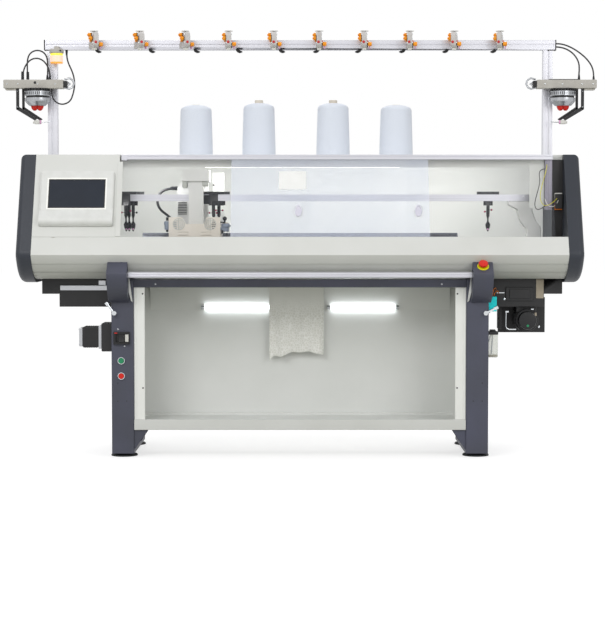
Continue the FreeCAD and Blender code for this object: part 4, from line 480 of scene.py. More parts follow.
# --- cords: feeder cables, air hose and thin wires ---
CABLES = {
    "left_outer_loop": (0.260, [
        (-1272, -12, 1695.3), (-1272, -12, 1719), (-1262, -12, 1757), (-1238, -12, 1787), (-1207, -12, 1796),
        (-1177, -12, 1785), (-1156, -12, 1757), (-1146, -12, 1721), (-1147, -12, 1695.3)]),
    "left_inner_loop": (0.325, [
        (-1252, 12, 1695.3), (-1255, 12, 1753), (-1252, 12, 1801), (-1235, 12, 1825), (-1207, 12, 1834),
        (-1179, 12, 1825), (-1162, 12, 1801), (-1159, 12, 1753), (-1162, 12, 1695.3)]),
    "left_rail_lead": (0.396, [
        (-1079, 62, 1837.7), (-1079, 62, 1808), (-1070, 50, 1776), (-1052, 34, 1742), (-1040, 20, 1708),
        (-1036, 8, 1670), (-1042, -2, 1632), (-1055, -8, 1596.3), (-1091.8, -10, 1580.7), (-1128.3, -10, 1597),
        (-1140.7, -10, 1632.9), (-1139, -10, 1654.7)]),
    "right_rail_lead": (0.291, [
        (1177.3, 72, 1868), (1202, 70, 1869), (1240, 56, 1856), (1280, 36, 1830), (1316, 14, 1796),
        (1340, -3, 1758), (1347, -10, 1720), (1346, -10, 1688.2)]),
    "right_branch": (0.231, [
        (1177.3, 58, 1852), (1200, 56, 1852), (1236, 42, 1838), (1264, 24, 1812), (1280, 6, 1778),
        (1281, -6, 1744), (1278, -10, 1717), (1279, -10, 1695.3)]),
}
CABLE_WIDTH, HOSE_WIDTH = 7.0, 12.0
BOOT_RIBS = 4


def cord_shape(name, points, width, sheath, body="root", node=None):
    """A cord as a smooth tube whose spline takes the route's points as its control points."""
    curve = bpy.data.curves.new(name, "CURVE")
    curve.dimensions = "3D"
    spline = curve.splines.new("NURBS")
    spline.points.add(len(points) - 1)
    for spot, point in zip(spline.points, points):
        spot.co = (point[0] * MM, point[1] * MM, point[2] * MM, 1.0)
    spline.order_u = 3
    spline.use_endpoint_u = True
    spline.resolution_u = 12
    curve.bevel_depth = width / 2 * MM
    curve.bevel_resolution = 4
    curve.use_fill_caps = True
    curve.materials.append(sheath)
    made = bpy.data.objects.new(name, curve)
    bpy.context.scene.collection.objects.link(made)
    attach(made, body)
    if node:
        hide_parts(node)
    return made


def boot(name, foot, axis, length, wide, narrow):
    """Ribbed rubber strain relief where a cable enters a housing."""
    bore = CABLE_WIDTH / 2 + 0.1
    profile = [(bore, 0), (wide, 0)]
    for rib in range(BOOT_RIBS):
        at = length * (rib + 0.35) / BOOT_RIBS
        radius = wide + (narrow - wide) * (rib + 0.5) / BOOT_RIBS
        profile += [(radius, at), (radius - 0.9, at + 0.8), (radius - 0.9, at + 2.0), (radius, at + 2.8)]
    profile += [(narrow, length), (bore, length), (bore, 0)]
    return piece(name, foot_rubber, [(turned, profile, foot, axis, 24)])


BOOTED = {"right_rail_lead": ("end",), "left_rail_lead": ("start",), "right_branch": ("end",)}
for name, (length, points) in CABLES.items():
    lead = cord_shape(name, points, CABLE_WIDTH, black_sheath, node="feeder_cables")
    axis = (0, 0, -1) if name == "left_rail_lead" else UP
    for tag in BOOTED.get(name, ("start", "end")):
        foot = points[0] if tag == "start" else points[-1]
        shape = (38.0, 7.2, 6.6) if name.endswith("loop") and tag == "start" else (24.0, 6.5, 4.2)
        boot("%s_boot_%s" % (name, tag), foot, axis, *shape)

# ribbed hose from the bridge column down to the union beside the front plate
HOSE = [(-566.3, 16, 1200), (-620, 16, 1200), (-660, 16, 1166), (-656, 16, 1108), (-604, 16, 1070),
        (-580, 16, 1040), (-580, 16, 1000.3)]
HOSE_BORE = 6.1
hose = cord_shape("carriage_air_hose", HOSE, HOSE_WIDTH, black_sheath, "carriage", "carriage_hose")
union = piece("hose_union", grey_blue_abs, [
    (turned, [(HOSE_BORE, 0), (9, 0), (9, 36), (8, 40), (8, 44), (HOSE_BORE, 44), (HOSE_BORE, 0)], (-580, 16, 1001),
     UP, 24)], "carriage")
profile = [(HOSE_BORE, 0), (10, 0)]
for rib in range(4):
    profile += [(10, 2 + rib * 7), (10 - rib * 0.6, 5 + rib * 7), (7.4, 5.8 + rib * 7), (7.4, 8 + rib * 7)]
profile += [(7.4, 32), (HOSE_BORE, 32), (HOSE_BORE, 0)]
cuff = piece("hose_cuff", foot_rubber, [(turned, profile, (-566, 16, 1200), LEFT, 24)], "carriage")

# thin wires: name, finish, width, length, points
WIRES = [
    ("cavity_black_wire", black_sheath, 3.5, 0.257,
     [(1099.8, -205, 1283), (1080, -220, 1280), (1070, -228, 1262), (1076, -228, 1225), (1062, -228, 1170),
      (1050, -228, 1125), (1060, -226, 1098), (1085, -222, 1105), (1099.8, -205, 1116)]),
    ("cavity_yellow_wire", yellow_pvc, 3.0, 0.269,
     [(1109, -206, 1305), (1106, -220, 1292), (1100, -230, 1265), (1084, -232, 1211), (1075, -232, 1168),
      (1078, -230, 1136), (1097, -230, 1114), (1133, -236, 1130), (1150, -240, 1150)]),
    ("cavity_pale_wire", white_pvc, 3.0, 0.103,
     [(1099.8, -205, 1150), (1104, -222, 1134), (1112, -230, 1116), (1133, -232, 1112), (1150, -238, 1124),
      (1156, -242, 1142)]),
    ("driver_wire_left", orange_pvc, 3.0, 0.098,
     [(850, -300, 713), (850, -300, 722), (852, -294, 738), (862, -272, 744), (868, -250, 738), (868, -225, 730)]),
    ("driver_wire_middle", orange_pvc, 3.0, 0.109,
     [(857, -300, 713), (857, -302, 726), (864, -296, 746), (874, -272, 752), (880, -248, 744), (880, -225, 736)]),
    ("driver_wire_right", orange_pvc, 3.0, 0.096,
     [(864, -300, 713), (864, -300, 720), (870, -292, 732), (884, -268, 738), (892, -246, 730), (892, -225, 722)]),
]
for name, finish, width, length, points in WIRES:
    cord_shape(name, points, width, finish)


# --- CAD nodes shown with rounded edges ---

def softened(node, finish, round_mm):
    """A CAD node's shape again, with its sharp edges rounded."""
    bm = bmesh.new()
    bm.from_mesh(frame["nodes"][node].data)
    bmesh.ops.scale(bm, vec=(1 / MM, 1 / MM, 1 / MM), verts=bm.verts)
    bmesh.ops.remove_doubles(bm, verts=bm.verts, dist=0.01)
    bmesh.ops.dissolve_limit(bm, angle_limit=math.radians(1.5), verts=bm.verts, edges=bm.edges)
    sharp = [edge for edge in bm.edges if len(edge.link_faces) == 2 and edge.calc_face_angle() > math.radians(32)]
    bmesh.ops.bevel(bm, geom=sharp, offset=round_mm, affect="EDGES", segments=2, profile=0.5, material=-1,
                    clamp_overlap=True)
    return finished(node + "_rounded", bm, finish, BODY_OF.get(node, "root"), (node,))


ROUNDED = [
    ("bar_brackets", leg_paint, 3.0), ("console_bezel", console_abs, 3.0), ("console_cover", cover_paint, 2.0),
    ("side_boxes", black_oxide, 2.0), ("operating_bar", rail_aluminium, 1.2), ("top_rail", rail_aluminium, 0.7),
    ("gantry_posts", post_aluminium, 0.8), ("yarn_rail", rail_aluminium, 0.5), ("rail_supports", bridge_paint, 4.0),
    ("carriage_bridge", bridge_paint, 5.0), ("carriage_rear", bridge_paint, 1.2), ("cross_beam", leg_paint, 1.5),
    ("bottom_tray", cover_paint, 2.0), ("power_rocker", black_nylon, 0.8), ("left_clamp_lever", chrome_plate, 0.8),
    ("right_clamp_lever", chrome_plate, 0.8),
] + [("yarn_carrier_%d" % number, black_oxide, 0.6) for number in range(1, 7)]
rounded_copies = {row[0]: softened(*row) for row in ROUNDED}
# the upright at the right end of the top rail is a darker extrusion
UPRIGHT_TOP = 1.318
top_rail = rounded_copies["top_rail"].data
top_rail.materials.append(dull_aluminium)
for polygon in top_rail.polygons:
    if polygon.center.z < UPRIGHT_TOP:
        polygon.material_index = 1

# --- lamps ---
SIDES = (-1, 1)
piece("bay_tubes", bay_tube, [(rod, (side * 140, -32, 652), (side * 440, -32, 652), 8, 1) for side in SIDES],
      replaces=("light_tubes",))
caps = []
for side in SIDES:
    caps += [(rod, (side * near, -32, 652), (side * far, -32, 652), 9, 1) for near, far in ((125, 141), (439, 455))]
    caps += [(block, (side * at - 4, side * at + 4), (-32, -21), (646, 658), 1) for at in (133, 447)]
piece("tube_caps", ground_steel, caps)
piece("window_lamp", window_tube, [(block, (-430.5, 454.5), (-187, -167), (1290, 1306), 4)])

LAMP_FOOT = (-1119, 14, 0)
piece("signal_lamp_base", grey_abs, [
    (turned, [(0, 1818), (30, 1818), (33, 1821), (33, 1834), (29, 1838), (0, 1838)], LAMP_FOOT),
    (block, (-1131, -1107), (14, 48), (1828, 1852), 3)], replaces=("signal_lamp",))
for name, finish, low, high in (("signal_band_yellow", yellow_lens, 1808, 1818),
                                ("signal_lens_salmon", salmon_lens, 1778, 1808),
                                ("signal_rim_amber", amber_lens, 1772, 1778)):
    piece(name, finish, [(turned, [(0, low), (27, low), (29, low + 1.5), (29, high - 1.5), (28, high), (0, high)],
                          LAMP_FOOT)])

# --- yarn cones: place, then heights of the shoulder, the dome and the tube's tip ---
CONES = ((-480, 218, 236, 238), (-190, 227, 245, 259), (152, 227, 245, 259), (443, 218, 236, 238))
CONE_Y, DECK_TOP = 35, 1346


def wrapped(bm, centre, radius_mm):
    """A UV map in units of 100 mm: round the cone, and up it."""
    layer = bm.loops.layers.uv.new("wrap")
    for face in bm.faces:
        turns = [math.atan2(loop.vert.co.y - centre[1], loop.vert.co.x - centre[0]) for loop in face.loops]
        if max(turns) - min(turns) > math.pi:
            turns = [turn + math.tau if turn < 0 else turn for turn in turns]
        for loop, turn in zip(face.loops, turns):
            loop[layer].uv = (turn * radius_mm / 100, loop.vert.co.z / 100)


for number, (x, shoulder, dome, tip) in enumerate(CONES, 1):
    foot = (x, CONE_Y, DECK_TOP)
    piece("cone_%d_yarn" % number, cone_yarn, [
        (turned, [(19.5, 0), (70, 0), (75.5, 3), (77, 9), (76.2, 60), (74.6, 110), (73, 165), (71.3, shoulder - 6),
                  (68, shoulder + 3), (60, shoulder + 9), (45, dome - 3), (30, dome), (19.5, dome), (19.5, 0)],
         foot, UP, 72),
        (wrapped, foot, 75)], replaces=("yarn_cones",), smooth=50)
    piece("cone_%d_tube" % number, paper_tube, [
        (turned, [(16.5, 0), (19.2, 0), (19.2, tip - 1), (18.4, tip), (17.2, tip), (16.5, tip - 1), (16.5, 0)], foot)])

# --- knitted piece in the bay ---
FABRIC_LEFT, FABRIC_RIGHT, FABRIC_TOP, FABRIC_FOOT = -143.0, 109.0, 985.0, 398.0
HEM = [(-150, 2), (-120, 34), (-88, 28), (-40, 50), (0, 48), (40, 54), (75, 42), (112, 38)]


def hem_at(x):
    """Height of the ragged hem above its lowest point."""
    for (near, low), (far, high) in zip(HEM, HEM[1:]):
        if near <= x <= far:
            return low + (high - low) * (x - near) / (far - near)
    return HEM[-1][1]


def draped(bm):
    """The hanging cloth: held flat above, in soft folds and with curled edges where it hangs free."""
    bmesh.ops.create_grid(bm, x_segments=90, y_segments=110, size=0.5)
    cloth = bm.loops.layers.uv.new("cloth")
    for vert in bm.verts:
        across, up = vert.co.x + 0.5, vert.co.y + 0.5
        x = FABRIC_LEFT + across * (FABRIC_RIGHT - FABRIC_LEFT)
        foot = FABRIC_FOOT + hem_at(x)
        z = foot + up * (FABRIC_TOP - foot)
        free = min(1.0, max(0.0, (740 - z) / 260))
        free = free * free * (3 - 2 * free)
        folds = 7.0 * math.sin(5 * math.pi * across + 0.5) + 1.6 * math.sin(13 * math.pi * across + z / 60)
        curl = max(0.0, abs(across - 0.5) * 2 - 0.94) / 0.06
        vert.co = (x - math.copysign(1, across - 0.5) * 2 * free * curl * curl,
                   -60 + free * (folds * 0.92 - 3 * curl * curl), z)
    for face in bm.faces:
        for loop in face.loops:
            loop[cloth].uv = (loop.vert.co.x / 100, (loop.vert.co.z - FABRIC_FOOT) / 100)


fabric = piece("knitted_piece", white_knit, [(draped,)], replaces=("knitted_fabric",), smooth=80)
wall = fabric.modifiers.new("knit_thickness", "SOLIDIFY")
wall.thickness = 1.8 * MM
wall.offset = 0.0
fabric.modifiers.move(1, 0)

# --- yarn controllers on the rail, each turned a little its own way ---
FIRST_CONTROLLER, CONTROLLER_PITCH = -958, 209
YAWS = (20, 20, 20, 4, 3, 0, -2, -3, -10, -10)
DISH_OFFSETS = (24, 62, 60, 46, 34, -8, -24, -30, -40, -28)
KNOB_PLACES = ((-30, 60), (-54, 42))
CONTROLLERS = [standing((FIRST_CONTROLLER + CONTROLLER_PITCH * place, 38, 1842), yaw) for place, yaw in enumerate(YAWS)]
CONTROLLER_OUTLINE = [(-11.5, y, z) for y, z in ((-84, 12), (-72, 0), (0, 0), (0, 58), (-12, 70), (-72, 70), (-84, 58))]
for name, finish, nodes, rows in (
        ("controller_bodies", controller_paint, ("yarn_controllers",), [
            (plate, CONTROLLER_OUTLINE, (23, 0, 0), 3.5), (block, (-15, 15), (-8, 10), (0, 30), 2.5),
            (block, (-2, 2), (-60, -16), (70, 74), 1)]),
        ("controller_discs", white_pvc, (), [
            (rod, (0, -42, 70), (0, -42, 75.5), 4),
            (turned, [(0, 75.5), (19, 75.5), (20, 76.5), (19, 77.5), (0, 77.5)], (0, -42, 0), UP, 32),
            (block, (-9, 9), (-62, -30), (-10, 3), 3), (rod, (13, -46, 20), (20, -46, 20), 8, 1)]),
        ("controller_orange_knobs", orange_acetal, ("controller_knobs",), [
            row for y, z in KNOB_PLACES for row in ((rod, (-26, y, z), (-11, y, z), 9.5, 1.5),
                                                    (rod, (-30, y, z), (-26, y, z), 5.225, 1))
        ] + [(rod, (16, -60, 16), (34, -60, 16), 9.5, 2), (block, (-20, -11), (-40, -24), (28, 36), 1.5)]),
        ("controller_collars", black_nylon, (), [
            (rod, (-14, y, z), (-11, y, z), 11, 0.8) for y, z in KNOB_PLACES
        ] + [(rod, (11, -60, 16), (17, -60, 16), 5, 0.8), (rod, (11, -20, 8), (16, -20, 8), 6, 0.8)]),
        ("controller_screws", chrome_plate, (), [
            (screw, (side * 11.5, y, z), 4.5, 3, (side, 0, 0)) for y, z in ((-66, 22), (-12, 46), (-66, 60))
            for side in (1, -1)] + [(screw, (0, -8, 16), 5, 3)]),
        ("controller_lamps", red_lens, (), [
            (turned, [(0, 0), (6.5, 0), (6.5, 4), (5, 8), (2, 9.5), (0, 9.8)], (-3, -80.5, 24), FRONT, 24),
            (turned, [(0, 0), (5.5, 0), (5.5, 3), (3.5, 6.5), (0, 7.4)], (11.5, -34, 30), RIGHT, 24)]),
        ("controller_eyelets", pink_ceramic, (), [
            (turned, [(3.5, 0), (7, 0), (8, 2), (8, 4), (7, 6), (3.5, 6), (3, 3), (3.5, 0)], (22, -50, 2),
             RIGHT, 24)])):
    piece(name, finish, [(placed, rows, *CONTROLLERS)], replaces=nodes)
dishes = []
for place, offset in enumerate(DISH_OFFSETS):
    x = FIRST_CONTROLLER + CONTROLLER_PITCH * place + offset
    dishes += [(placed, [(turned, [(0, 0), (6, 0), (13, 4), (17, 10), (17, 12), (14, 12), (11, 8), (0, 5)], (0, 0, 0),
                          UP, 32)], standing((x, 36, 1824), 24 if offset > 0 else -24, "Y")),
               (rod, (x, 40, 1828), (x, 52, 1842), 4)]
piece("controller_tension_dishes", black_nylon, dishes)

# --- storage feeders: housings, forks, eyelets, drums ---
HOUSING_FACE = -40
feeder_fork = [
    (block, (1066, 1084), (-34, 14), (1660, 1690), 3), (block, (1330, 1357), (-36, 16), (1664, 1690), 2)]
for x, half, y in ((1294, 7, -22), (1272, 6, 6)):
    inner = x - 78
    feeder_fork += [
        (block, (x - half, x + half), (y - 3, y + 3), (1561, 1657), 1),
        (plate, [(x - half, y - 3, 1572), (x + half, y - 3, 1572), (x + half, y - 3, 1560), (inner, y - 3, 1509),
                 (inner - 10, y - 3, 1517)], (0, 6, 0), 0.8)]
for name, finish, nodes, rows in (
        ("feeder_housings", grey_abs, ("storage_feeders",), [
            (block, (1083, 1357), (HOUSING_FACE, 20), (1655, 1695), 4),
            (block, (1122, 1166), (18, 48), (1660, 1692), 2),
            (block, (1300, 1350), (-30, 12), (1648, 1656), 2)]),
        ("feeder_forks", black_nylon, (), feeder_fork),
        ("feeder_eyelet_brackets", pale_abs, (), [
            (block, (1194, 1220), (-24, 8), (1494, 1512), 2.5), (block, (1212, 1226), (-18, 2), (1496, 1506), 1.5)]),
        ("feeder_ceramic_eyes", pink_ceramic, (), [
            (turned, [(4, -4), (8, -4), (9.5, -1.5), (9.5, 1.5), (8, 4), (4, 4), (3.2, 0), (4, -4)], (1192, -10, 1503),
             RIGHT, 32)]),
        ("feeder_bright_parts", chrome_plate, (), [
            (bar, [(1192, -10, 1503), (1174, -10, 1502), (1150, -10, 1504)], 2.2)
        ] + [(screw, (x, HOUSING_FACE, 1675), 3.6, 2.2) for x in (1120, 1200, 1290, 1340)
             # each of the two fork screws is there twice, in the same place
             ] + [(screw, (1294, -25.2, z), 3.8, 2) for z in (1645, 1572, 1645, 1572)]),
        ("feeder_clips", turned_steel, (), [
            (bar, [(1080, -18, 1697), (1056, -18, 1703), (1040, -18, 1692), (1036, -18, 1676), (1044, -18, 1660),
                   (1058, -18, 1654), (1080, -18, 1660)], 4.2),
            (bar, [(1072, -24, 1690), (1052, -24, 1676), (1072, -24, 1664)], 3.0)])):
    piece(name, finish, [(both_sides, rows)], replaces=nodes)
piece("rail_end_caps", black_nylon, [
    (both_sides, [(block, (1177, 1182), (46.5, 93.5), (1836, 1884), 1.2),
                  (block, (1140, 1181), (46, 52), (1834.5, 1839), 1)]),
    (rod, (-1098, -1, 1829), (-1098, -20, 1829), 3.4, 0.6)])
piece("feeder_black_covers", black_nylon, [
    (block, (1138, 1274), (-38, 18), (1693, 1697.5), 1.5),
    (turned, [(0, 0), (6, 0), (6, 1.4), (0, 2)], (-1212, HOUSING_FACE, 1681), FRONT, 24)])

DRUM_X, DRUM_Y, DRUM_FOOT, DRUM_SLOTS, DRUM_TEETH = 1206, -10, 1576.5, 36, 24
for side, sign in (("left", -1), ("right", 1)):
    body, x = side + "_feeder_drum", sign * DRUM_X
    foot = (x, DRUM_Y, DRUM_FOOT)

    def ringed(count, row):
        """A row's shape, spaced evenly about the drum."""
        return (placed, [row], *[standing(foot, 360 * step / count) for step in range(count)])

    piece(side + "_drum_body", turned_steel, [
        (turned, [(0, 0), (36, 0), (40, 3), (54, 19), (56.5, 23), (56.5, 36), (50, 37), (0, 37)], foot, UP, 64),
        (turned, [(0, 45), (56, 45), (58, 47), (58, 66), (56, 67.5), (0, 67.5)], foot, UP, 64)], body, (body,))
    piece(side + "_drum_rings", black_nylon, [
        (turned, [(0, 36.5), (51, 36.5), (51, 46), (0, 46)], foot),
        ringed(DRUM_SLOTS, (block, (56.5, 58.8), (-1.7, 1.7), (50, 63), 0.5, 1)),
        (turned, [(0, 70), (53, 70), (53, 73), (0, 73)], foot),
        ringed(DRUM_TEETH, (block, (44, 57), (-4.4, 4.4), (68, 79), 1, 1)),
        (rod, (x, DRUM_Y, DRUM_FOOT + 72), (x, DRUM_Y, DRUM_FOOT + 95), 7)], body)
    piece(side + "_drum_knob", red_acetal, [
        (turned, [(0, -22), (5, -21.5), (10, -18), (14.5, -11), (17, -3), (17.5, 0.5), (0, 0.5)],
         (x + lobe, DRUM_Y, DRUM_FOOT), UP, 32) for lobe in (-12, 12)], body)

# --- console: screen frame, and the doors' pulls and notice; made upright, then leaned back ---
SLOPE = -24.21
CONSOLE = standing((-1180, -395, 979), SLOPE, "X")
WINDOW = standing((0, -385, 979.3), SLOPE, "X")
PANE = standing((0, -378, 979.3), SLOPE, "X")
ROLL = ((2, 50.5), (9, 51), (16.5, 54), (22, 60), (25, 68), (25.5, 77), (24, 88), (12.3, 123), (2, 123))
for name, finish, rows in (
        ("screen_gasket", black_nylon, [(border, (65.5, 316.5), (134, 274), (-12.9, -11.2), 4.6)]),
        ("screen_raised_lines", bright_abs, [(border, (58.5, 323.5), (127, 281), (-13.4, -11.5), 6.5)]),
        ("bezel_hand_roll", console_abs, [(plate, [(28.5, -proud, up) for proud, up in ROLL], (325, 0, 0), 0.8)] + [
            (block, (x, x + 4), (-14.2, -2), (60, 312), 1.8) for x in (29, 349)]),
        ("console_edge_trim", cover_paint, [(block, (366, 390), (-3.2, 1.5), (1, 366), 1.5)]),
        ("console_seam", bed_paint, [(block, (1, 366), (-0.7, 1), (-0.8, 0.8), 0.3, 1),
                                     (block, (86, 104), (-1.6, 1), (-2.6, 0.2), 0.6)]),
        ("console_latch", grey_abs, [(block, (92, 99), (-2, 1.5), (-4, 0), 0.8)])):
    piece(name, finish, [(placed, rows, CONSOLE)])
PULL = [(0, 4.0), (15.5, 4.0), (15.5, 6.8), (14.4, 8), (12.4, 8), (11, 5.2), (0, 5.2)]
for body, x in (("left_door", -7), ("right_door", 524)):
    oval = WINDOW @ Matrix.Translation((x, 0, 123)) @ Matrix.Diagonal((1, 1, 1.8, 1))
    piece(body + "_pull", pull_abs, [(placed, [(turned, PULL, (0, 0, 0), FRONT)], oval)], body)
piece("notice_sheet", paper, [(placed, [(block, (-94, 27), (-4.5, -3.9), (229, 318), 0.2, 1)], PANE)])

# --- switches, buttons and the emergency stop ---
E_STOP_FOOT, E_STOP_AXIS = (802, -433.9, 849.9), (0, -0.6377, 0.770)
LEG_FACE, BUTTON_X, START_Z, STOP_Z = -350, -793, 430, 362
piece("e_stop_ring", yellow_pvc, [
    (turned, [(10, 0), (26, 0), (26, 2.6), (24.5, 4), (12, 4), (10, 3), (10, 0)], E_STOP_FOOT, E_STOP_AXIS)])
piece("e_stop_cap", red_acetal, [
    (turned, [(0, -2), (9, -2), (9, 10.5), (19, 11), (21, 13), (21, 18), (19.5, 21), (15, 22.8), (8, 23.6), (0, 23.8)],
     E_STOP_FOOT, E_STOP_AXIS)], "e_stop_button", ("e_stop_button",))
piece("switch_frame", black_nylon, [
    (border, (-826.5, -755.5), (503.5, 558.5), (-362, LEG_FACE), 9),
    (border, (-817.6, -764.4), (510.6, 551.4), (-360, LEG_FACE), 2),
    (block, (-826, -756), (-352.5, LEG_FACE), (504, 558), 0.5),
    (block, (-777.2, -774), (-361, -351), (512, 550), 0.5)], replaces=("control_fittings",))
piece("switch_plate_pale", pale_abs, [(block, (-774.5, -759.5), (-363, -352), (515, 547), 0.8)])
piece("switch_mark_red", red_pvc, [(block, (-822, -809), (-362.8, -361), (551, 555.5), 0.3)])
piece("button_collars", chrome_plate, [
    (turned, [(12.7, 0), (17, 0), (17, 4), (15.6, 6), (13.4, 6), (12.7, 4.5), (12.7, 0)], (BUTTON_X, LEG_FACE, z),
     FRONT)
    for z in (START_Z, STOP_Z)])
for body, z, finish in (("start_button", START_Z, green_acetal), ("stop_button", STOP_Z, red_acetal)):
    piece(body + "_cap", finish, [
        (turned, [(0, 4), (12.4, 4), (12.4, 11.5), (11, 12.7), (6, 13), (0, 13)], (BUTTON_X, LEG_FACE, z), FRONT, 40)],
        body, (body,))

# --- cavity at the right end ---
piece("cavity_back_plate", black_oxide, [
    (block, (1132, 1180), (-210, -207), (979, 1324), 0.5),
    (block, (1142, 1176), (-240, -232), (1104, 1170), 2)], replaces=("end_wiring",))
for colour, finish, slot, front, z in (("pale", pale_abs, None, -232, (1150, 1175)),
                                       ("grey", grey_abs, None, -236, (1132, 1151)),
                                       ("orange", orange_pvc, None, -234, (1099, 1116)),
                                       ("pink", pink_ceramic, "orange_plastic", -236, (1115, 1133))):
    piece("cavity_plug_" + colour, finish, [(block, (1143, 1175), (front, -210), z, 2)], slot=slot)
piece("window_end_liner", liner_paint, [(block, (1032, 1099), (-192, -189.5), (1108, 1324), 1)])

# --- carriage ---
PLATE_FACE = -289.0
grilles = []
for x in (-540, -400):
    for low, high in ((24, 26.6), (17, 18.6), (10, 11.4)):
        ring = [(low, -0.5), (high, -0.5), (high, 1.2), (low, 1.2), (low, -0.5)]
        grilles += [(turned, ring, (x, PLATE_FACE, 1035), FRONT)]
    grilles += [(block, (x - 1.6, x + 1.6), (PLATE_FACE - 1.6, PLATE_FACE + 0.5), (1010, 1060), 0.5)]
    grilles += [(block, (x - 18, x + 18), (PLATE_FACE - 1.0, PLATE_FACE + 0.5), (z - 0.8, z + 0.8), 0.3)
                for z in (1018, 1052)]
piece("carriage_fan_grilles", bed_paint, grilles, "carriage")
piece("carriage_black_fittings", black_nylon, [
    # the eight black strips on the column's pale side panel are painted shade in its grooves
    (block, (-563, -522), (3.2, 6), (1080 + step * 7.6, 1083 + step * 7.6), 0.6) for step in range(8)
] + [
    (screw, (-400, 58, 1216), 4.5, 3), (block, (-356, -334), (-286, -262), (1040, 1046), 1),
    (ball, (-336, -268, 1060), 9.5, 24, 16), (rod, (-336, -268, 1040), (-336, -268, 1054), 4),
    (block, (-352, -344), (-284, -268), (992, 1008), 1.5), (block, (-332, -322), (-280, -262), (984, 996), 1.5),
    (rod, (-320, -268, 1026), (-308, -268, 1028), 3, 0.5), (rod, (-606, -270, 1034), (-599, -270, 1034), 3, 0.5),
    (block, (-598, -585), (-276, -262), (1050, 1066), 2), (block, (-598, -588), (-276, -264), (1000, 1010), 2),
], "carriage")
piece("carriage_oilers", grey_blue_abs, [
    (turned, [(0, 0), (9, 0), (11, 3), (11, 20), (13, 23), (13, 34), (10, 38), (0, 38)], (-594, -270, 1010), UP, 32),
    (turned, [(0, 0), (12, 0), (15, 4), (15, 18), (19, 23), (19, 32), (14, 37), (0, 37)], (-332, -268, 1001), UP, 32),
    (block, (-356, -332), (-280, -258), (1008, 1022), 3)], "carriage")
piece("carriage_oiler_ring", beige_pvc, [
    (turned, [(0, 0), (10, 0), (13, 2), (13, 4), (6, 6), (0, 6)], (-332, -268, 1037), UP, 32)], "carriage")

# --- yarn carriers: knobs on the fingers, ceramic tips ---
# place and lane, then the places of the crimson knobs; the third one has a black knob instead
CARRIERS = (((-795, -1), ((-19, 1088),)), ((-782, 0), ((6, 1095),)), ((-765, 1), ()),
            ((-395, -1), ((-19, 1086), (11, 1098))), ((-372, 1), ((-11, 1086), (17, 1098))),
            ((859, 0), ((-14, 1092), (16, 1100))))
LANE_PITCH, TIP_PITCH = 22, 7


def finger_y(lane, z):
    """Depth of a finger, which leans from its lane in to the needle line."""
    down = (1120 - z) / 118
    return (-68.3 + LANE_PITCH * lane) * (1 - down) + (-60 + TIP_PITCH * lane) * down


def finger_knobs(x, lane, knobs, radius):
    """Knobs beside a finger, and the pins that carry them."""
    places = [((x, finger_y(lane, z), z), (x + dx, finger_y(lane, z), z)) for dx, z in knobs]
    return [(ball, end, radius, 20, 12) for _, end in places], [(rod, *ends, 1.2, 0.0, 12) for ends in places]


for number, ((x, lane), knobs) in enumerate(CARRIERS, 1):
    body = "yarn_carrier_%d" % number
    if knobs:
        balls, fittings = finger_knobs(x, lane, knobs, 4.6)
        piece(body + "_knobs", crimson_acetal, balls, body)
    else:
        balls, fittings = finger_knobs(x, lane, ((16, 1088),), 5)
        fittings += balls
    if number == 4:
        fittings += [(block, (-400, -341), (-93.6, -91.7), (1121, 1141), 0.6),
                     (block, (-441, -412), (-92.2, -88.7), (1126, 1168), 1)]
    fittings += [(screw, (x + dx, -69.6 + LANE_PITCH * lane, 1175), 2.6, 1.4) for dx in (-36, -12, 12, 36)]
    piece(body + "_fittings", black_nylon, fittings, body)
    piece(body + "_tip", pink_ceramic, [
        (turned, [(1.4, -3), (3.6, -3), (4.4, -1.5), (4.4, 1.5), (3.6, 3), (1.4, 3), (1.4, -3)],
         (x, finger_y(lane, 1012), 1012), FRONT, 20)], body)

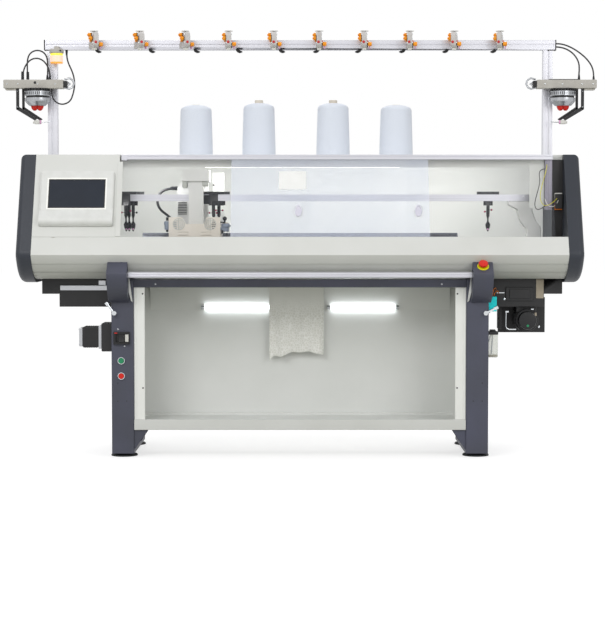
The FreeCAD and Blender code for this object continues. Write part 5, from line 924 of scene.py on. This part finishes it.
# --- drive and fittings at the right leg ---
MOTOR = (1021, -75, 603)
MOTOR_RIBS = [(48.5 if rib % 2 else 52, 22 + rib * 6 + edge) for rib in range(20) for edge in (0, 5)]
for name, finish, nodes, rows in (
        ("motor_plate", black_oxide, ("drive_motor",), [
            (block, (905, 1119), (-92, -75), (541, 702), 2), (block, (924, 1050), (-232, -224), (690, 752), 3),
            (block, (940, 1034), (-236, -231), (700, 744), 3), (block, (900, 916), (-160, -90), (560, 700), 3),
            (block, (975, 1066), (-200, -90), (636, 672), 5)]),
        ("motor_body", black_nylon, (), [
            (turned, [(0, 16), (52, 16)] + MOTOR_RIBS + [(52, 146), (49, 150), (0, 150)], MOTOR, FRONT, 64),
            (turned, [(0, 149), (41, 149), (41, 174), (39, 181), (34, 184), (0, 184)], MOTOR, FRONT, 64)]),
        ("motor_mark_green", green_acetal, (), [
            (turned, [(0, 0), (5.5, 0), (5.5, 0.8), (0, 1.4)], (1021, -258.8, 580), FRONT, 24)]),
        ("drive_bright_fittings", chrome_plate, (), [
            (bar, [(927, -226, 640), (926, -226, 576), (930, -226, 567), (940, -226, 563), (972, -226, 563)], 3.2),
            (screw, (1092, -92, 566), 6, 3.5), (screw, (1000, -92, 560), 6, 3.5), (screw, (919, -226, 699), 6, 3.5),
            (block, (923, 938), (-234, -228), (638, 646), 2), (block, (1040, 1052), (-232, -224), (624, 634), 2),
            (block, (1038, 1050), (-232, -224), (650, 656), 1.5), (block, (884, 919), (-228, -225), (725, 729), 0.8)]),
        ("drive_beige_strip", beige_pvc, (), [
            (block, (1054, 1064), (-232, -224), (622, 638), 2), (block, (1061, 1095), (-228, -225), (702, 788), 1)]),
        ("driver_module", cyan_abs, (), [(block, (838, 875), (-320, -285), (647, 713), 2)] + [
            (block, (841, 872), (-321, -319), (655 + 9 * step, 659 + 9 * step), 0.4) for step in range(6)]),
        ("right_leg_black_fittings", black_nylon, ("oil_bottle",), [
            (block, (837, 846), (-318, -270), (640, 720), 1), (block, (843, 871), (-306, -294), (712.5, 716), 1),
            (block, (837, 882.3), (-322, -278), (543, 558), 3), (block, (845, 872), (-312, -288), (556, 566), 3)]),
        ("oil_bottle_wall", bottle_plastic, (), [(block, (837.3, 881.3), (-322, -278), (442, 546), 5)]),
        ("oil_bottle_oil", oil, (), [(block, (839.5, 879.5), (-319.8, -280.2), (444, 454), 3)]),
        ("oil_suction_tube", blue_pvc, (), [
            (bar, [(858, -300, 546), (856, -301, 500), (853, -302, 458)], 2.6),
            (bar, [(852, -296, 546), (842, -297, 512)], 2.2)])):
    piece(name, finish, rows, replaces=nodes)

# --- take-down drive under the left cover ---
TAKEDOWN_Y, TAKEDOWN_Z = -250, 531


def squared(bm, x, half, round_mm):
    """A square block about the take-down drive's axis."""
    block(bm, x, (TAKEDOWN_Y - half, TAKEDOWN_Y + half), (TAKEDOWN_Z - half, TAKEDOWN_Z + half), round_mm)


piece("takedown_gearbox", black_oxide, [(squared, (-885, -837), 63, 4), (squared, (-971, -899), 46, 5)] + [
    (squared, (-962 + step * 10, -958 + step * 10), 47.2, 5) for step in range(6)], replaces=("takedown_motor",))
piece("takedown_plates", ground_steel, [(squared, (-899, -885), 52, 2), (squared, (-987, -971), 42, 4)] + [
    (screw, (-987, TAKEDOWN_Y + dy, TAKEDOWN_Z + dz), 4, 2, LEFT) for dy in (-34, 34) for dz in (-34, 34)
] + [(block, (-1078, -862), (-232, -225), (738, 760), 2), (block, (-905, -871), (-236, -225), (762, 784), 3)])

# --- small fasteners, feet, trims ---
FEET = [(x, y) for x in (-787, 787) for y in (-280, 140)]
piece("panel_screws", ground_steel, [(screw, place, 4.2, 2.6) for place in (
    (-641, -340, 770), (628, -340, 770), (-807, LEG_FACE, 569), (-778, LEG_FACE, 495), (1004, -230, 1159.5))])
piece("dark_screws", black_oxide, [
    row for side in SIDES for row in [(screw, (side * 698, -341.5, z), 3.6, 2.0) for z in (727, 308)] + [
        (screw, (side * x, LEG_FACE, z), 2.4, 1.0) for x, z in ((809, 330), (809, 250), (770, 250))]])
# the trims are the liner's front edges; their brighter white is a painted highlight
piece("bay_trims", highlight_white_paint, [(both_sides, [
    (block, (693, 735), (-341.5, -338.5), (168.5, 752), 1), (block, (690, 694), (-341.5, -326), (168.5, 752), 1),
    (block, (722, 726), (-343, -341), (168.5, 752), 0.8)])])
# the white crescents stand for each slate bracket's inner side face where the bay lamps light it: a painted highlight,
# drawn as a thin plate
CHEEK = ((765, 806), (757, 806), (751, 762), (743, 704), (742, 690), (749, 698), (760, 742))
piece("bracket_cheeks", highlight_white_paint, [(both_sides, [(plate, [(x, -356, z) for x, z in CHEEK], (0, 6.5, 0), 0.8)])])
piece("needle_bed_strip", black_oxide, [(block, (-716, 716), (-76, -70), (980, 987), 1)])
# the ears are white enamel like the bridge; the darker warm grey is painted shade under the head
piece("bridge_head_ears", bed_paint, [
    (block, x, (-178, -140), (foot, 1236), 6) for x, foot in (((-531, -509), 1197), ((-443, -416), 1205))],
    "carriage", slot="bridge_paint")
piece("foot_pads", foot_rubber, [
    (turned, [(0, 0), (59, 0), (59, 5), (56, 8), (24, 10), (14, 13), (0, 13)], (x, y, 0)) for x, y in FEET],
    replaces=("levelling_feet",), slot="foot_rubber")
piece("foot_stems", ground_steel, [row for x, y in FEET for row in (
    (rod, (x, y, 9), (x, y, 24), 9, 0.0, 24), (turned, [(0, 12), (18, 12), (18, 16), (0, 16)], (x, y, 0), UP, 6))])

# --- finishes of the CAD pieces ---
FINISHES = {
    cover_paint: ["front_cover", "console_cover", "top_deck", "bottom_tray"],
    console_abs: ["console_bezel"],
    end_paint: ["end_covers"],
    leg_paint: ["stand_legs", "bar_brackets", "cross_beam"],
    bed_paint: ["machine_bed"],
    liner_paint: ["bay_liner", "rear_cover"],
    carriage_paint: ["carriage_front"],
    bridge_paint: ["carriage_bridge", "carriage_rear", "rail_supports"],
    black_oxide: ["side_boxes", "drive_motor", "takedown_motor", "end_wiring"] + [
        "yarn_carrier_%d" % number for number in range(1, 7)],
    grey_abs: ["storage_feeders"],
    controller_paint: ["yarn_controllers"],
    orange_acetal: ["controller_knobs"],
    red_acetal: ["e_stop_button", "stop_button"],
    green_acetal: ["start_button"],
    black_nylon: ["power_rocker", "control_fittings", "oil_bottle"],
    rail_aluminium: ["top_rail", "operating_bar", "yarn_rail", "carrier_rails"],
    post_aluminium: ["gantry_posts"],
    ground_steel: ["carriage_rails"],
    bed_steel: ["front_needle_bed", "rear_needle_bed"],
    grip_rubber: ["takedown_front_roller", "takedown_rear_roller"],
    chrome_plate: ["left_clamp_lever", "right_clamp_lever"],
    turned_steel: ["left_feeder_drum", "right_feeder_drum"],
    foot_rubber: ["levelling_feet"],
    bay_tube: ["light_tubes", "signal_lamp"],
    acrylic: ["left_door", "right_door"],
    blue_acrylic: ["centre_pane"],
    touch_glass: ["screen_glass"],
    cone_yarn: ["yarn_cones"],
    white_knit: ["knitted_fabric"],
}
for finish, names in FINISHES.items():
    for name in names:
        for place in frame["nodes"][name].material_slots:
            place.material = finish


# --- floor, backdrop, lights and camera ---

def seen_directly(tree):
    """1 where a ray from the camera, a mirror or a pane meets this surface."""
    rays = add(tree, "LightPath").outputs
    found = rays["Is Camera Ray"]
    for name in ("Is Glossy Ray", "Is Transmission Ray"):
        found = add(tree, "Math", {"operation": "MAXIMUM"}, {0: found, 1: rays[name]}).outputs["Value"]
    return found


# the floor shows near white with soft shadows, and throws only a dim warm light back on the machine
floor_paint, tree, shader = started("pale_floor", Roughness=0.9, Base_Color=(0.38, 0.385, 0.33, 1.0))
shaded = add(tree, "BsdfDiffuse", {"Color": (0.45, 0.45, 0.45, 1.0)})
white = add(tree, "Emission", {"Color": (1, 1, 1, 1), "Strength": 0.68})
both = add(tree, "AddShader", {}, {0: shaded.outputs["BSDF"], 1: white.outputs["Emission"]})
mixed = add(tree, "MixShader", {}, {0: seen_directly(tree), 1: shader.outputs["BSDF"], 2: both.outputs["Shader"]})
tree.links.new(mixed.outputs["Shader"], tree.nodes["Material Output"].inputs["Surface"])

bm = bmesh.new()
bmesh.ops.create_grid(bm, x_segments=1, y_segments=1, size=30.0)
bmesh.ops.translate(bm, vec=(0, 0, -0.001), verts=bm.verts)
floor_mesh = bpy.data.meshes.new("floor")
bm.to_mesh(floor_mesh)
bm.free()
floor_mesh.materials.append(floor_paint)
floor = bpy.data.objects.new("floor", floor_mesh)
bpy.context.scene.collection.objects.link(floor)

world = bpy.data.worlds.new("studio")
bpy.context.scene.world = world
world.use_nodes = True
sky = world.node_tree
dim, bright = sky.nodes["Background"], add(sky, "Background", {"Color": (1, 1, 1, 1), "Strength": 1.0})
dim.inputs["Color"].default_value = (1, 1, 1, 1)
dim.inputs["Strength"].default_value = 0.72
blend = add(sky, "MixShader", {},
            {0: seen_directly(sky), 1: dim.outputs["Background"], 2: bright.outputs["Background"]})
sky.links.new(blend.outputs["Shader"], sky.nodes["World Output"].inputs["Surface"])


def softbox(name, place, target, size, watts):
    """A rectangular area light at place that faces target."""
    light = bpy.data.lights.new(name, "AREA")
    light.shape = "RECTANGLE"
    light.size, light.size_y = size
    light.energy = watts
    made = bpy.data.objects.new(name, light)
    made.location = place
    made.rotation_euler = (Vector(target) - Vector(place)).to_track_quat("-Z", "Y").to_euler()
    bpy.context.scene.collection.objects.link(made)


softbox("key_softbox", (-2.6, -5.0, 4.2), (0, 0, 0.9), (3.0, 2.0), 120)
softbox("fill_softbox", (3.4, -4.6, 2.6), (0, 0, 0.9), (2.4, 2.4), 60)
softbox("back_softbox", (0.0, 3.6, 3.6), (0, 0, 1.2), (3.0, 1.5), 60)
# the strip of lamps under the top rail lights the inside of the window from end to end
for side, x, long, watts in (("left", -0.76, 0.2, 1.9), ("middle", 0.24, 1.3, 3.9), ("right", 0.93, 0.3, 1.3)):
    softbox("window_glow_" + side, (x, -0.09, 1.27), (x, 0.10, 1.15), (long, 0.07), watts)

camera = bpy.data.objects.new("camera", bpy.data.cameras.new("camera"))
camera.data.sensor_width = 36
camera.data.lens = 102.7
camera.location = (0.011, -8.43, 1.04)
camera.rotation_euler = (math.radians(90 - 3.04), 0, 0)
bpy.context.scene.collection.objects.link(camera)
bpy.context.scene.camera = camera
bpy.context.scene.view_settings.view_transform = "Standard"
